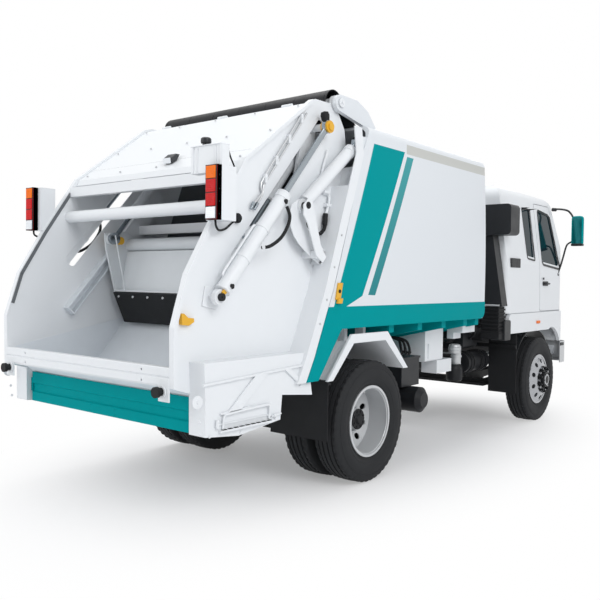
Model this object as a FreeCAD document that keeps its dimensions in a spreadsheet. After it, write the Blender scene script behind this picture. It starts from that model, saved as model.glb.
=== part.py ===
import FreeCAD, Part
import math
import os
import Sketcher

# A rear-loading compactor garbage truck, every piece on its own.
# Lengths are in millimetres and angles in degrees. +X points forward, +Y to the left and +Z up.
# The origin lies on the ground in the middle of the vehicle. Places along the vehicle are
# counted from the rear axle, and the datum moves them to the origin.

DOCUMENT = FreeCAD.newDocument("GarbageTruck")
SHEET = DOCUMENT.addObject("Spreadsheet::Sheet", "Sizes")
NODES = {}

SIZE_TABLE = (
    # Whole vehicle
    ("wheelbase", 3650), ("front_overhang", 1150), ("buffer_length", 64),
    ("fit_gap", 0.3), ("move_gap", 6), ("pin_gap", 0.5), ("overrun", 20),
    # Wheels and tyres
    ("tyre_radius", 509), ("tyre_width", 254), ("tyre_shoulder", 28), ("tyre_bulge", 260),
    ("tread_width", 206), ("bead_radius", 286), ("bead_width", 190), ("flange_radius", 298),
    ("rim_wall", 9), ("rim_half", 105), ("disc_wall", 12), ("disc_set", 150),
    ("hand_hole_radius", 27), ("hand_hole_circle", 222), ("hub_radius", 88),
    ("hub_reach", 70), ("bolt_circle", 143), ("bolt_radius", 14), ("bolt_reach", 32),
    ("dual_spacing", 316), ("rear_track_half", 1024), ("front_track_half", 1065),
    ("drum_radius", 188), ("drum_width", 150), ("bearing_radius", 42),
    # Frame
    ("frame_top", 1000), ("frame_height", 220), ("frame_half_width", 425),
    ("frame_flange", 70), ("frame_wall", 8), ("frame_tail", 1000), ("nose_set", 200),
    ("member_width", 90), ("member_height", 130), ("nose_step", 75),
    ("tow_eye_radius", 20), ("tow_eye_wall", 20), ("tow_eye_z", 560), ("tow_eye_outer", 48),
    ("tow_eye_x", 4700),
    # Axles, springs and steering
    ("beam_height", 92), ("beam_width", 84), ("beam_drop", 110), ("kingpin_radius", 22),
    ("kingpin_half_span", 880), ("knuckle_height", 190), ("steer_arm", 190),
    ("tie_rod_radius", 17), ("axle_tube_radius", 62), ("diff_radius", 205),
    ("spring_width", 76), ("spring_half_span", 1500), ("leaf_thickness", 11),
    ("spring_camber", 95), ("spring_half_track", 385),
    # Engine and driveline
    ("engine_length", 980), ("engine_width", 620), ("engine_height", 640),
    ("engine_centre", 3560), ("engine_low", 560), ("gearbox_radius", 170),
    ("gearbox_length", 620), ("shaft_radius", 52),
    # Tanks and boxes on the frame
    ("fuel_tank_length", 760), ("fuel_tank_width", 420), ("fuel_tank_height", 430),
    ("tank_corner", 90), ("air_tank_radius", 120), ("air_tank_length", 620),
    ("silencer_radius", 115), ("silencer_length", 520), ("pipe_radius", 40),
    # Refuse body
    ("body_front", 2120), ("body_half_width", 1150), ("body_floor", 1300),
    ("body_roof", 2960), ("body_wall", 25), ("body_base", 60), ("body_bulge", 20000),
    ("body_edge", 90), ("body_lean", 27), ("skirt_height", 175), ("skirt_wall", 20),
    ("skirt_corner", 90), ("subframe_width", 80),
    # Hinge of the tailgate
    ("hinge_back", 350), ("hinge_z", 3090), ("hinge_boss", 66), ("hinge_pin", 28),
    ("lug_wall", 40), ("hood_radius", 116), ("hood_wall", 6), ("hinge_tube", 50),
    # Tailgate
    ("tail_reach", 2056), ("tail_top", 3081), ("tail_half_width", 978), ("plate_wall", 10),
    ("edge_band", 26), ("edge_rim", 34), ("post_width", 100), ("seam_gap", 8),
    ("cover_wall", 6), ("cross_tube", 48), ("cross_tube_back", 1490), ("cross_tube_z", 2186),
    ("beam_depth", 80), ("beam_tall", 60), ("sill_top", 1117), ("sill_tall", 129),
    ("sill_deep", 50), ("floor_wall", 8), ("floor_radius", 715), ("ramp_end", 760),
    ("side_box_half_width", 1120),
    ("lower_panel_back", 1850), ("lower_panel_half", 940), ("lower_panel_top", 905),
    ("lower_panel_low", 670), ("panel_wall", 6),
    # Packer: carriage, blade and their cylinders
    ("rail_slope", 48.45), ("stroke", 660), ("pivot_back", 950), ("pivot_z", 1970),
    ("rail_depth", 70), ("rail_wall", 12), ("rail_clear", 62), ("rail_length", 1180),
    ("shoe_length", 190), ("shoe_spacing", 470), ("carriage_wall", 24),
    ("blade_radius", 692), ("blade_arm_wall", 20), ("blade_pin", 45),
    ("pack_barrel", 52), ("pack_rod", 23), ("pack_y", 1060), ("pack_eye_back", 565),
    ("pack_eye_z", 2862), ("pack_length", 1740), ("pack_barrel_length", 970),
    ("sweep_barrel", 42), ("sweep_rod", 20), ("sweep_y", 792), ("sweep_lever", 220),
    ("sweep_lever_angle", 168), ("sweep_length", 850), ("sweep_slope", 50),
    ("sweep_barrel_length", 505),
    # Cylinders that lift the tailgate
    ("lift_barrel", 50), ("lift_rod", 25), ("lift_y", 1060), ("lift_low_back", 870),
    ("lift_low_z", 2228), ("lift_eye_back", 165), ("lift_eye_z", 2795),
    ("lift_barrel_length", 800), ("eye_wall", 36), ("eye_radius", 52), ("eye_pin", 20),
    # Cab
    ("cab_rear", 2700), ("cab_length", 1940), ("cab_sill", 1330), ("cab_height", 1470),
    ("cab_half_width", 1150), ("cab_wall", 45), ("cab_base", 60), ("glass_wall", 6),
    ("glass_set", 14), ("door_gap", 7), ("tilt_x", 4560), ("tilt_z", 1015),
    ("tilt_pin", 20), ("nose_drop", 395), ("fender_wall", 40), ("fender_low", 1100),
    ("cab_corner", 310), ("cab_edge", 160), ("cab_lean", 110), ("door_rear", 3700),
    ("door_hinge", 4436), ("door_top", 2650), ("soft_corner", 45), ("mirror_stand", 255),
    ("mirror_width", 140),
    # Bumper and lamps
    ("bumper_low", 640), ("bumper_top", 918), ("bumper_depth", 330), ("bumper_wall", 8),
    ("bumper_half_width", 1140), ("bumper_corner", 190), ("headlamp_width", 300),
    ("headlamp_height", 120), ("headlamp_y", 800),
    ("lamp_width", 100), ("lamp_height", 352), ("lamp_depth", 42), ("lamp_low", 2058),
    ("lamp_back", 1800), ("lamp_y", 1069), ("housing_depth", 66), ("housing_width", 285),
    ("housing_height", 175),
)


class Size:
    """A measure worked out from the sheet: its value, and the expression that gives it."""

    def __init__(self, value, text):
        self.value = float(value)
        self.text = text

    def __add__(self, other):
        return worked_out(self, "+", other)

    def __radd__(self, other):
        return worked_out(other, "+", self)

    def __sub__(self, other):
        return worked_out(self, "-", other)

    def __rsub__(self, other):
        return worked_out(other, "-", self)

    def __mul__(self, other):
        return worked_out(self, "*", other)

    def __rmul__(self, other):
        return worked_out(other, "*", self)

    def __truediv__(self, other):
        return worked_out(self, "/", other)

    def __neg__(self):
        return Size(-self.value, f"(-{self.text})")


def value_of(size):
    return size.value if isinstance(size, Size) else float(size)


def text_of(size):
    return size.text if isinstance(size, Size) else repr(float(size))


def worked_out(first, sign, second):
    """The sum, difference, product or quotient of two sizes."""
    low = value_of(first)
    high = value_of(second)
    results = {"+": low + high, "-": low - high, "*": low * high}
    result = low / high if sign == "/" else results[sign]
    return Size(result, f"({text_of(first)} {sign} {text_of(second)})")


def cosine(angle):
    return Size(math.cos(math.radians(value_of(angle))), f"cos({text_of(angle)} * 1 deg)")


def sine(angle):
    return Size(math.sin(math.radians(value_of(angle))), f"sin({text_of(angle)} * 1 deg)")


def distance(across, up):
    """Length of a line that runs so far across and so far up."""
    value = math.hypot(value_of(across), value_of(up))
    text = f"sqrt({text_of(across)} * {text_of(across)} + {text_of(up)} * {text_of(up)})"
    return Size(value, text)


def leg(longest, other):
    """Third side of a right-angled triangle from its longest side and another."""
    value = math.sqrt(value_of(longest) * value_of(longest) - value_of(other) * value_of(other))
    text = f"sqrt({text_of(longest)} * {text_of(longest)} - {text_of(other)} * {text_of(other)})"
    return Size(value, text)


def fill_sheet():
    """Writes the table into the sheet and gives every size back under its alias."""
    sizes = {}
    for row, (alias, value) in enumerate(SIZE_TABLE, start=1):
        SHEET.set(f"A{row}", alias.replace("_", " "))
        SHEET.set(f"B{row}", str(value))
        SHEET.setAlias(f"B{row}", alias)
        sizes[alias] = Size(value, f"Sizes.{alias}")
    DOCUMENT.recompute()
    return type("Sizes", (), sizes)


S = fill_sheet()

REAR_REACH = S.tail_reach + S.buffer_length
FRONT_REACH = S.wheelbase + S.front_overhang
FRAME_NOSE = FRONT_REACH - S.nose_set
DATUM = (REAR_REACH - FRONT_REACH) / 2


# Ways of making solids


def bind(thing, path, size):
    """Sets a property, by an expression on the sheet where the size comes from it."""
    if isinstance(size, Size):
        thing.setExpression(path, size.text)
    else:
        raise ValueError(f"{thing.Label}: {path} needs a named size")


def put(thing, place, rotation=None):
    """Places a piece: x counts from the rear axle, y from the middle and z from the ground."""
    places = [DATUM + place[0], place[1], place[2]]
    if rotation is None:
        rotation = FreeCAD.Rotation()
    start = FreeCAD.Vector(*[value_of(size) for size in places])
    thing.Placement = FreeCAD.Placement(start, rotation)
    for axis, size in zip("xyz", places):
        if isinstance(size, Size):
            thing.setExpression(f"Placement.Base.{axis}", size.text)
    return thing


def box(label, sizes, place):
    """A block from its lowest corner."""
    block = DOCUMENT.addObject("Part::Box", label)
    for path, size in zip(("Length", "Width", "Height"), sizes):
        bind(block, path, size)
    return put(block, place)


TURNS = {
    "X": FreeCAD.Rotation(FreeCAD.Vector(0, 1, 0), 90),
    "Y": FreeCAD.Rotation(FreeCAD.Vector(1, 0, 0), -90),
    "Z": FreeCAD.Rotation(),
}


def rod(label, radius, length, place, along):
    """A round bar from the centre of its lower end."""
    bar = DOCUMENT.addObject("Part::Cylinder", label)
    bind(bar, "Radius", radius)
    bind(bar, "Height", length)
    return put(bar, place, TURNS[along])


def cone(label, radii, length, place, along):
    """A round taper from the centre of its first end."""
    taper = DOCUMENT.addObject("Part::Cone", label)
    bind(taper, "Radius1", radii[0])
    bind(taper, "Radius2", radii[1])
    bind(taper, "Height", length)
    return put(taper, place, TURNS[along])


def slope_between(start, end):
    """Angle about +Y that turns a bar from upright to the line between two (x, z) places."""
    across = end[0] - start[0]
    up = end[1] - start[1]
    value = math.degrees(math.atan2(value_of(across), value_of(up)))
    return Size(value, f"atan2({text_of(across)}; {text_of(up)})")


def slanted_rod(label, radius, start, end, side):
    """A round bar between two (x, z) places at one y."""
    bar = DOCUMENT.addObject("Part::Cylinder", label)
    bind(bar, "Radius", radius)
    bind(bar, "Height", distance(end[0] - start[0], end[1] - start[1]))
    slope = slope_between(start, end)
    turn = FreeCAD.Rotation(FreeCAD.Vector(0, 1, 0), slope.value)
    put(bar, (start[0], side, start[1]), turn)
    bar.setExpression("Placement.Rotation.Angle", slope.text)
    return bar


def arc_between(start, end, radius):
    """Arc from start to end. A positive radius bulges to the right of the way, else left."""
    chord = end - start
    half = chord.Length / 2
    reach = math.sqrt(max(radius * radius - half * half, 0))
    left = FreeCAD.Vector(-chord.y, chord.x, 0).normalize()
    centre = (start + end) * 0.5 + left * math.copysign(reach, radius)
    circle = Part.Circle(centre, FreeCAD.Vector(0, 0, 1), abs(radius))
    first = circle.parameter(start)
    last = circle.parameter(end)
    if radius > 0:
        return Part.ArcOfCircle(circle, first, last), (1, 2)
    return Part.ArcOfCircle(circle, last, first), (2, 1)


def hold(sketch, geometry, vertex, point):
    """Ties one point of a sketch to its two distances from the sketch's origin."""
    for kind, size in (("DistanceX", point[0]), ("DistanceY", point[1])):
        tie = Sketcher.Constraint(kind, -1, 1, geometry, vertex, value_of(size))
        index = sketch.addConstraint(tie)
        if isinstance(size, Size):
            sketch.setExpression(f"Constraints[{index}]", size.text)


def size_radius(sketch, geometry, radius):
    tie = Sketcher.Constraint("Radius", geometry, abs(value_of(radius)))
    index = sketch.addConstraint(tie)
    sketch.setExpression(f"Constraints[{index}]", f"abs({text_of(radius)})")


def draw_circle(sketch, centre, radius):
    middle = FreeCAD.Vector(value_of(centre[0]), value_of(centre[1]), 0)
    circle = Part.Circle(middle, FreeCAD.Vector(0, 0, 1), value_of(radius))
    geometry = sketch.addGeometry(circle, False)
    hold(sketch, geometry, 3, centre)
    size_radius(sketch, geometry, radius)


def draw_outline(sketch, points):
    """A closed outline. A point is (across, up), or (across, up, radius) at an arc's end."""
    first = sketch.GeometryCount
    spots = [FreeCAD.Vector(value_of(point[0]), value_of(point[1]), 0) for point in points]
    shapes = []
    ends = []
    for index, spot in enumerate(spots):
        after = (index + 1) % len(spots)
        if len(points[after]) == 3:
            shape, vertices = arc_between(spot, spots[after], value_of(points[after][2]))
        else:
            shape, vertices = Part.LineSegment(spot, spots[after]), (1, 2)
        shapes.append(shape)
        ends.append(vertices)
    sketch.addGeometry(shapes, False)
    joins = []
    for index, vertices in enumerate(ends):
        after = (index + 1) % len(ends)
        start = (first + index, vertices[1])
        joins.append(Sketcher.Constraint("Coincident", *start, first + after, ends[after][0]))
    sketch.addConstraint(joins)
    for index, point in enumerate(points):
        hold(sketch, first + index, ends[index][0], point)
        after = points[(index + 1) % len(points)]
        if len(after) == 3:
            size_radius(sketch, first + index, after[2])


def drawn(body, plane, outlines):
    """A sketch of the outlines on one of the body's own planes."""
    sketch = body.newObject("Sketcher::SketchObject", f"{body.Name}_outline")
    support = next(item for item in body.Origin.OriginFeatures if item.Role == plane)
    sketch.AttachmentSupport = [(support, "")]
    sketch.MapMode = "FlatFace"
    for outline in outlines:
        if outline[0] == "circle":
            draw_circle(sketch, outline[1:3], outline[3])
        else:
            draw_outline(sketch, outline)
    return sketch


def slab(label, plane, outlines, thickness, place):
    """A plate of even thickness. In the XZ plane it grows to +Y from place, like the others."""
    body = DOCUMENT.addObject("PartDesign::Body", label)
    sketch = drawn(body, plane, outlines)
    pad = body.newObject("PartDesign::Pad", f"{label}_pad")
    pad.Profile = sketch
    bind(pad, "Length", thickness)
    if plane == "XZ_Plane":
        place = (place[0], place[1] + thickness, place[2])
    return put(body, place)


def side_plate(label, outlines, low, high):
    """A plate seen from the side, between two y places."""
    return slab(label, "XZ_Plane", outlines, high - low, (0, low, 0))


def turned(label, outline, place):
    """A round piece: its half section (along y, radius) turned about an axis along +Y."""
    body = DOCUMENT.addObject("PartDesign::Body", label)
    sketch = drawn(body, "YZ_Plane", [outline])
    turn = body.newObject("PartDesign::Revolution", f"{label}_turn")
    turn.Profile = sketch
    turn.ReferenceAxis = (sketch, ["H_Axis"])
    turn.Angle = 360
    return put(body, place)


def fused(label, pieces):
    joined = DOCUMENT.addObject("Part::MultiFuse", label)
    joined.Shapes = pieces
    return joined


def together(label, pieces):
    """Pieces that don't touch, kept side by side."""
    group = DOCUMENT.addObject("Part::Compound", label)
    group.Links = pieces
    return group


def cut(label, base, tools):
    rest = DOCUMENT.addObject("Part::Cut", label)
    rest.Base = base
    rest.Tool = tools[0] if len(tools) == 1 else together(f"{label}_tools", tools)
    return rest


def common(label, pieces):
    shared = DOCUMENT.addObject("Part::MultiCommon", label)
    shared.Shapes = pieces
    return shared


def mirrored(label, piece):
    """The same piece on the other side of the vehicle."""
    twin = DOCUMENT.addObject("Part::Mirroring", label)
    twin.Source = piece
    twin.Base = (0, 0, 0)
    twin.Normal = (0, 1, 0)
    return twin


def both_sides(label, piece):
    """A pair of like pieces, left and right."""
    return together(label, [piece, mirrored(f"{label}_right", piece)])


def node(label, piece):
    """Marks a finished sub-part, whose label names its file."""
    piece.Label = label
    NODES[label] = piece
    return piece


# Wheels, tyres and hubs


def tyre(label, centre):
    """A tyre: flat tread, rounded shoulders and bulging walls down to the beads."""
    wall = S.tyre_width / 2
    tread = S.tread_width / 2
    bead = S.bead_width / 2 - S.fit_gap
    shoulder = S.tyre_radius - S.tyre_shoulder
    waist = (S.tyre_radius + S.bead_radius) / 2
    flange = S.flange_radius + S.fit_gap
    outline = [
        (bead, S.bead_radius), (bead, flange), (wall, waist, S.tyre_bulge),
        (tread + S.tyre_shoulder / 2, shoulder, S.tyre_bulge), (tread, S.tyre_radius),
        (-tread, S.tyre_radius), (-tread - S.tyre_shoulder / 2, shoulder),
        (-wall, waist, S.tyre_bulge), (-bead, flange, S.tyre_bulge), (-bead, S.bead_radius),
    ]
    return turned(label, outline, centre)


def rim(label, centre, way):
    """A disc wheel; way is 1 where its disc stands outboard and -1 where it stands inboard."""
    seat = S.bead_radius - S.fit_gap
    inner = seat - S.rim_wall
    bead = S.bead_width / 2
    face = S.disc_set + S.disc_wall / 2
    back = S.disc_set - S.disc_wall / 2
    lip = S.rim_half - S.disc_wall
    knee = S.hand_hole_circle - S.hand_hole_radius * 1.35
    outline = [
        (-S.rim_half, S.flange_radius), (-bead, S.flange_radius), (-bead, seat), (bead, seat),
        (bead, S.flange_radius), (S.rim_half, S.flange_radius), (S.rim_half, inner),
        (face - S.rim_wall, knee), (face, knee - S.rim_wall * 2), (face, S.bearing_radius * 2),
        (back, S.bearing_radius * 2), (back, knee - S.rim_wall * 2), (back - S.rim_wall, knee),
        (lip, inner), (-S.rim_half, inner),
    ]
    return turned(label, [(point[0] * way, point[1]) for point in outline], centre)


def hub(label, centre, reach):
    """Hub with its brake drum, open to the spindle on the inboard side."""
    back = S.disc_set - S.disc_wall / 2
    mouth = back - S.drum_width
    core = S.bearing_radius + S.disc_wall * 2
    bore = S.bearing_radius + S.pin_gap
    end = back + reach
    wall = S.disc_wall
    outline = [
        (mouth, S.drum_radius), (back, S.drum_radius), (back, S.hub_radius),
        (end - wall * 2, S.hub_radius), (end, S.hub_radius - wall * 2), (end, 0),
        (back + wall * 2, 0), (back + wall * 2, bore), (mouth - wall, bore),
        (mouth - wall, core), (back - wall, core), (back - wall, S.drum_radius - wall),
        (mouth, S.drum_radius - wall),
    ]
    return turned(label, outline, centre)


def wheel_bolts(label, centre, start, count=10):
    """The ring of wheel nuts round the hub."""
    nuts = []
    for index in range(count):
        turn = 360 * index / count
        spot = (
            centre[0] + S.bolt_circle * math.cos(math.radians(turn)), centre[1] + start,
            centre[2] + S.bolt_circle * math.sin(math.radians(turn)),
        )
        nuts.append(rod(f"{label}_{index}", S.bolt_radius, S.bolt_reach, spot, "Y"))
    return nuts


def hand_holes(label, centre, length, count=10):
    """The ring of holes through a disc, or through both discs of a twin wheel."""
    holes = []
    for index in range(count):
        turn = 360 * (index + 0.5) / count
        spot = (
            centre[0] + S.hand_hole_circle * math.cos(math.radians(turn)),
            centre[1] + S.disc_set * 0.66,
            centre[2] + S.hand_hole_circle * math.sin(math.radians(turn)),
        )
        holes.append(rod(f"{label}_{index}", S.hand_hole_radius, length, spot, "Y"))
    return together(f"{label}_holes", holes)


def build_wheels():
    front = (S.wheelbase, S.front_track_half, S.tyre_radius)
    inner = (0, S.rear_track_half - S.dual_spacing, S.tyre_radius)
    outer = (0, S.rear_track_half, S.tyre_radius)
    front_tyre = node("front_tyre_left", tyre("front_tyre_left", front))
    node("front_tyre_right", mirrored("front_tyre_right", front_tyre))
    pair = [tyre("rear_tyre_inner", inner), tyre("rear_tyre_outer", outer)]
    rear_tyres = node("rear_tyres_left", together("rear_tyres_left", pair))
    node("rear_tyres_right", mirrored("rear_tyres_right", rear_tyres))

    pieces = [rim("front_disc", front, 1), hub("front_hub", front, S.hub_reach)]
    pieces += wheel_bolts("front_nut", front, S.disc_set)
    wheel = cut("front_wheel_left", fused("front_wheel_solid", pieces),
                [hand_holes("front_hole", front, S.disc_set * 0.5)])
    node("front_wheel_left", wheel)
    node("front_wheel_right", mirrored("front_wheel_right", wheel))

    pieces = [rim("rear_disc_inner", inner, 1), rim("rear_disc_outer", outer, -1)]
    pieces.append(hub("rear_hub", inner, S.hub_reach + S.disc_set / 2))
    pieces += wheel_bolts("rear_nut", inner, S.disc_set + S.disc_wall)
    wheel = cut("rear_wheels_left", fused("rear_wheel_solid", pieces),
                [hand_holes("rear_hole", inner, S.dual_spacing - S.disc_set * 1.32)])
    node("rear_wheels_left", wheel)
    node("rear_wheels_right", mirrored("rear_wheels_right", wheel))


# Axles, springs and steering


def build_front_axle():
    """Forged I-beam with a dropped middle, a boss and a kingpin at each end."""
    low = S.tyre_radius - S.beam_drop - S.beam_height / 2
    top = low + S.beam_height
    end = S.kingpin_half_span
    seat = S.frame_half_width + S.beam_width / 2
    rise = S.tyre_radius - S.beam_height / 2
    foot = end - S.beam_width
    outline = [
        (-seat, low), (seat, low), (foot, rise), (end, rise), (end, rise + S.beam_height),
        (foot - S.beam_width / 2, rise + S.beam_height), (seat - S.beam_width / 4, top),
        (-seat + S.beam_width / 4, top), (-foot + S.beam_width / 2, rise + S.beam_height),
        (-end, rise + S.beam_height), (-end, rise), (-foot, rise),
    ]
    place = (S.wheelbase - S.beam_width / 2, 0, 0)
    beam = slab("front_beam", "YZ_Plane", [outline], S.beam_width, place)
    inset = S.beam_height / 5
    pocket = [
        (-seat, low + inset), (seat, low + inset), (foot - inset, rise + inset),
        (foot - S.beam_width / 2, rise + S.beam_height - inset), (seat, top - inset),
        (-seat, top - inset), (-foot + S.beam_width / 2, rise + S.beam_height - inset),
        (-foot + inset, rise + inset),
    ]
    depth = S.beam_width / 3
    pockets = []
    for name, start in (("front", S.beam_width - depth), ("rear", -S.overrun)):
        spot = (place[0] + start, 0, 0)
        pockets.append(slab(f"beam_pocket_{name}", "YZ_Plane", [pocket], depth + S.overrun, spot))
    carved = cut("front_beam_carved", beam, pockets)
    boss_radius = S.kingpin_radius * 2
    boss_height = S.knuckle_height - S.beam_width
    pin_height = S.knuckle_height + S.beam_width / 2
    bosses = []
    for name, side in (("left", end), ("right", -end)):
        spot = (S.wheelbase, side, S.tyre_radius - boss_height / 2)
        bosses.append(rod(f"kingpin_boss_{name}", boss_radius, boss_height, spot, "Z"))
        spot = (S.wheelbase, side, S.tyre_radius - pin_height / 2)
        bosses.append(rod(f"kingpin_{name}", S.kingpin_radius, pin_height, spot, "Z"))
    node("front_axle", fused("front_axle", [carved] + bosses))


def build_knuckles():
    """Steering knuckle: two eyes round the kingpin, the spindle and the steering arm."""
    eye_gap = (S.knuckle_height - S.beam_width) / 2 + S.move_gap / 2
    eye_height = (S.knuckle_height - S.beam_width) / 4
    side = S.kingpin_half_span
    web = S.kingpin_radius * 2.2
    lows = (S.tyre_radius + eye_gap, S.tyre_radius - eye_gap - eye_height)
    pieces = []
    for name, low in zip(("upper", "lower"), lows):
        spot = (S.wheelbase, side, low)
        pieces.append(rod(f"knuckle_eye_{name}", S.kingpin_radius * 2, eye_height, spot, "Z"))
        sizes = (S.kingpin_radius * 3, web + S.spring_width / 4, eye_height)
        spot = (S.wheelbase - S.kingpin_radius * 1.5, side, low)
        pieces.append(box(f"knuckle_link_{name}", sizes, spot))
    height = eye_gap * 2 + eye_height * 2
    sizes = (S.kingpin_radius * 3, S.spring_width / 3, height)
    spot = (S.wheelbase - S.kingpin_radius * 1.5, side + web, S.tyre_radius - height / 2)
    pieces.append(box("knuckle_web", sizes, spot))
    start = side + web
    spindle_end = S.front_track_half + S.disc_set + S.disc_wall / 2 - S.move_gap
    spot = (S.wheelbase, start, S.tyre_radius)
    pieces.append(rod("spindle", S.bearing_radius, spindle_end - start, spot, "Y"))
    plate_y = S.front_track_half + S.disc_set - S.drum_width - S.disc_wall - S.overrun * 2
    spot = (S.wheelbase, plate_y, S.tyre_radius)
    pieces.append(rod("brake_plate", S.drum_radius, S.frame_wall, spot, "Y"))
    arm_low = lows[1]
    arm = [
        (S.wheelbase - S.steer_arm - S.kingpin_radius, side - S.kingpin_radius * 4),
        (S.wheelbase - S.steer_arm - S.kingpin_radius, side - S.kingpin_radius * 2),
        (S.wheelbase - S.kingpin_radius * 1.5, side + S.kingpin_radius),
        (S.wheelbase - S.kingpin_radius * 1.5, side - S.kingpin_radius),
    ]
    pieces.append(slab("steering_arm", "XY_Plane", [arm], eye_height, (0, 0, arm_low)))
    solid = fused("knuckle_solid", pieces)
    spot = (S.wheelbase, side, S.tyre_radius - S.knuckle_height)
    bore = rod("knuckle_bore", S.kingpin_radius + S.pin_gap, S.knuckle_height * 2, spot, "Z")
    knuckle = node("knuckle_left", cut("knuckle_left", solid, [bore]))
    node("knuckle_right", mirrored("knuckle_right", knuckle))

    reach = side - S.kingpin_radius * 3
    top = arm_low - S.pin_gap
    back = S.wheelbase - S.steer_arm
    height = S.tie_rod_radius * 2
    spot = (back, -reach, top - S.tie_rod_radius)
    pieces = [rod("tie_bar", S.tie_rod_radius * 0.85, reach * 2, spot, "Y")]
    for name, place in (("left", reach), ("right", -reach)):
        spot = (back, place, top - height)
        pieces.append(rod(f"tie_end_{name}", S.kingpin_radius, height, spot, "Z"))
    node("tie_rod", fused("tie_rod", pieces))


def build_rear_axle():
    """Drive axle: round tube, final drive with its cover and nose, and a spindle each side."""
    half = S.rear_track_half - S.dual_spacing + S.disc_set - S.drum_width - S.overrun * 2
    centre = S.tyre_radius
    pieces = [rod("axle_tube", S.axle_tube_radius, half * 2, (0, -half, centre), "Y")]
    width = S.diff_radius * 1.3
    outline = [
        (-width / 2, 0), (width / 2, 0), (width / 2, S.diff_radius * 0.62),
        (width / 4, S.diff_radius, S.diff_radius), (-width / 4, S.diff_radius),
        (-width / 2, S.diff_radius * 0.62, S.diff_radius),
    ]
    pieces.append(turned("final_drive", outline, (0, 0, centre)))
    nose = (S.diff_radius * 0.6, S.shaft_radius * 1.2)
    pieces.append(cone("pinion_nose", nose, S.diff_radius * 0.9,
                       (S.diff_radius * 0.7, 0, centre), "X"))
    end = S.rear_track_half - S.dual_spacing + S.disc_set + S.disc_wall / 2 - S.move_gap
    pieces.append(rod("axle_spindles", S.bearing_radius, end * 2, (0, -end, centre), "Y"))
    for name, way in (("left", 1), ("right", -1)):
        start = half * way if way > 0 else -half - S.frame_wall
        pieces.append(rod(f"rear_brake_plate_{name}", S.drum_radius, S.frame_wall,
                          (0, start, centre), "Y"))
    node("rear_axle", fused("rear_axle", pieces))


def leaf_pack(label, middle, eye_z):
    """Four pairs of leaves, each pair shorter than the one above, with eyes and hangers."""
    half = S.spring_half_span / 2
    camber = S.spring_camber
    leaf = S.leaf_thickness * 2
    low = S.spring_half_track - S.spring_width / 2
    high = S.spring_half_track + S.spring_width / 2
    radius = (half * half + camber * camber) / (camber * 2)
    pieces = []
    length_shares = (1, 0.8, 0.58, 0.36)
    for index, share in enumerate(length_shares):
        reach = half * share
        drop = camber * (1 - share * share)
        top = eye_z - drop - leaf * index
        lower = top - leaf
        outline = [
            (middle - reach, lower), (middle + reach, lower, radius), (middle + reach, top),
            (middle - reach, top, -radius),
        ]
        pieces.append(side_plate(f"{label}_leaf_{index}", [outline], low, high))
    for name, way in (("front", 1), ("rear", -1)):
        eye = S.leaf_thickness * 2
        spot = (middle + half * way, low, eye_z - leaf / 2)
        pieces.append(rod(f"{label}_eye_{name}", eye, S.spring_width, spot, "Y"))
        for edge, start in (("in", low - S.frame_wall), ("out", high)):
            sizes = (eye * 3, S.frame_wall, S.frame_top - S.frame_height - eye_z + leaf * 2)
            spot = (middle + half * way - eye * 1.5, start, eye_z - leaf * 2)
            pieces.append(box(f"{label}_hanger_{name}_{edge}", sizes, spot))
    return fused(label, pieces)


def build_springs():
    sag = S.spring_camber + S.leaf_thickness * 8
    beam_top = S.tyre_radius - S.beam_drop + S.beam_height / 2
    rear_eye = S.tyre_radius + S.axle_tube_radius + S.leaf_thickness + sag
    front_eye = beam_top + S.leaf_thickness + sag
    packs = []
    for name, middle, eye, floor in (
        ("front", S.wheelbase, front_eye, beam_top),
        ("rear", 0, rear_eye, S.tyre_radius + S.axle_tube_radius),
    ):
        pack = leaf_pack(f"{name}_spring", middle, eye)
        sizes = (S.spring_width * 2, S.spring_width, S.leaf_thickness * 2)
        low = S.spring_half_track - S.spring_width / 2
        seat = box(f"{name}_spring_seat", sizes,
                   (middle - S.spring_width, low, floor))
        packs.append(fused(f"{name}_spring_set", [pack, seat]))
    pair = together("leaf_spring_pair", packs)
    node("leaf_springs", both_sides("leaf_springs", pair))


# Frame, engine and driveline


FRAME_MEMBER_SHARES = (0.17, 0.42, 0.66)


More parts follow.
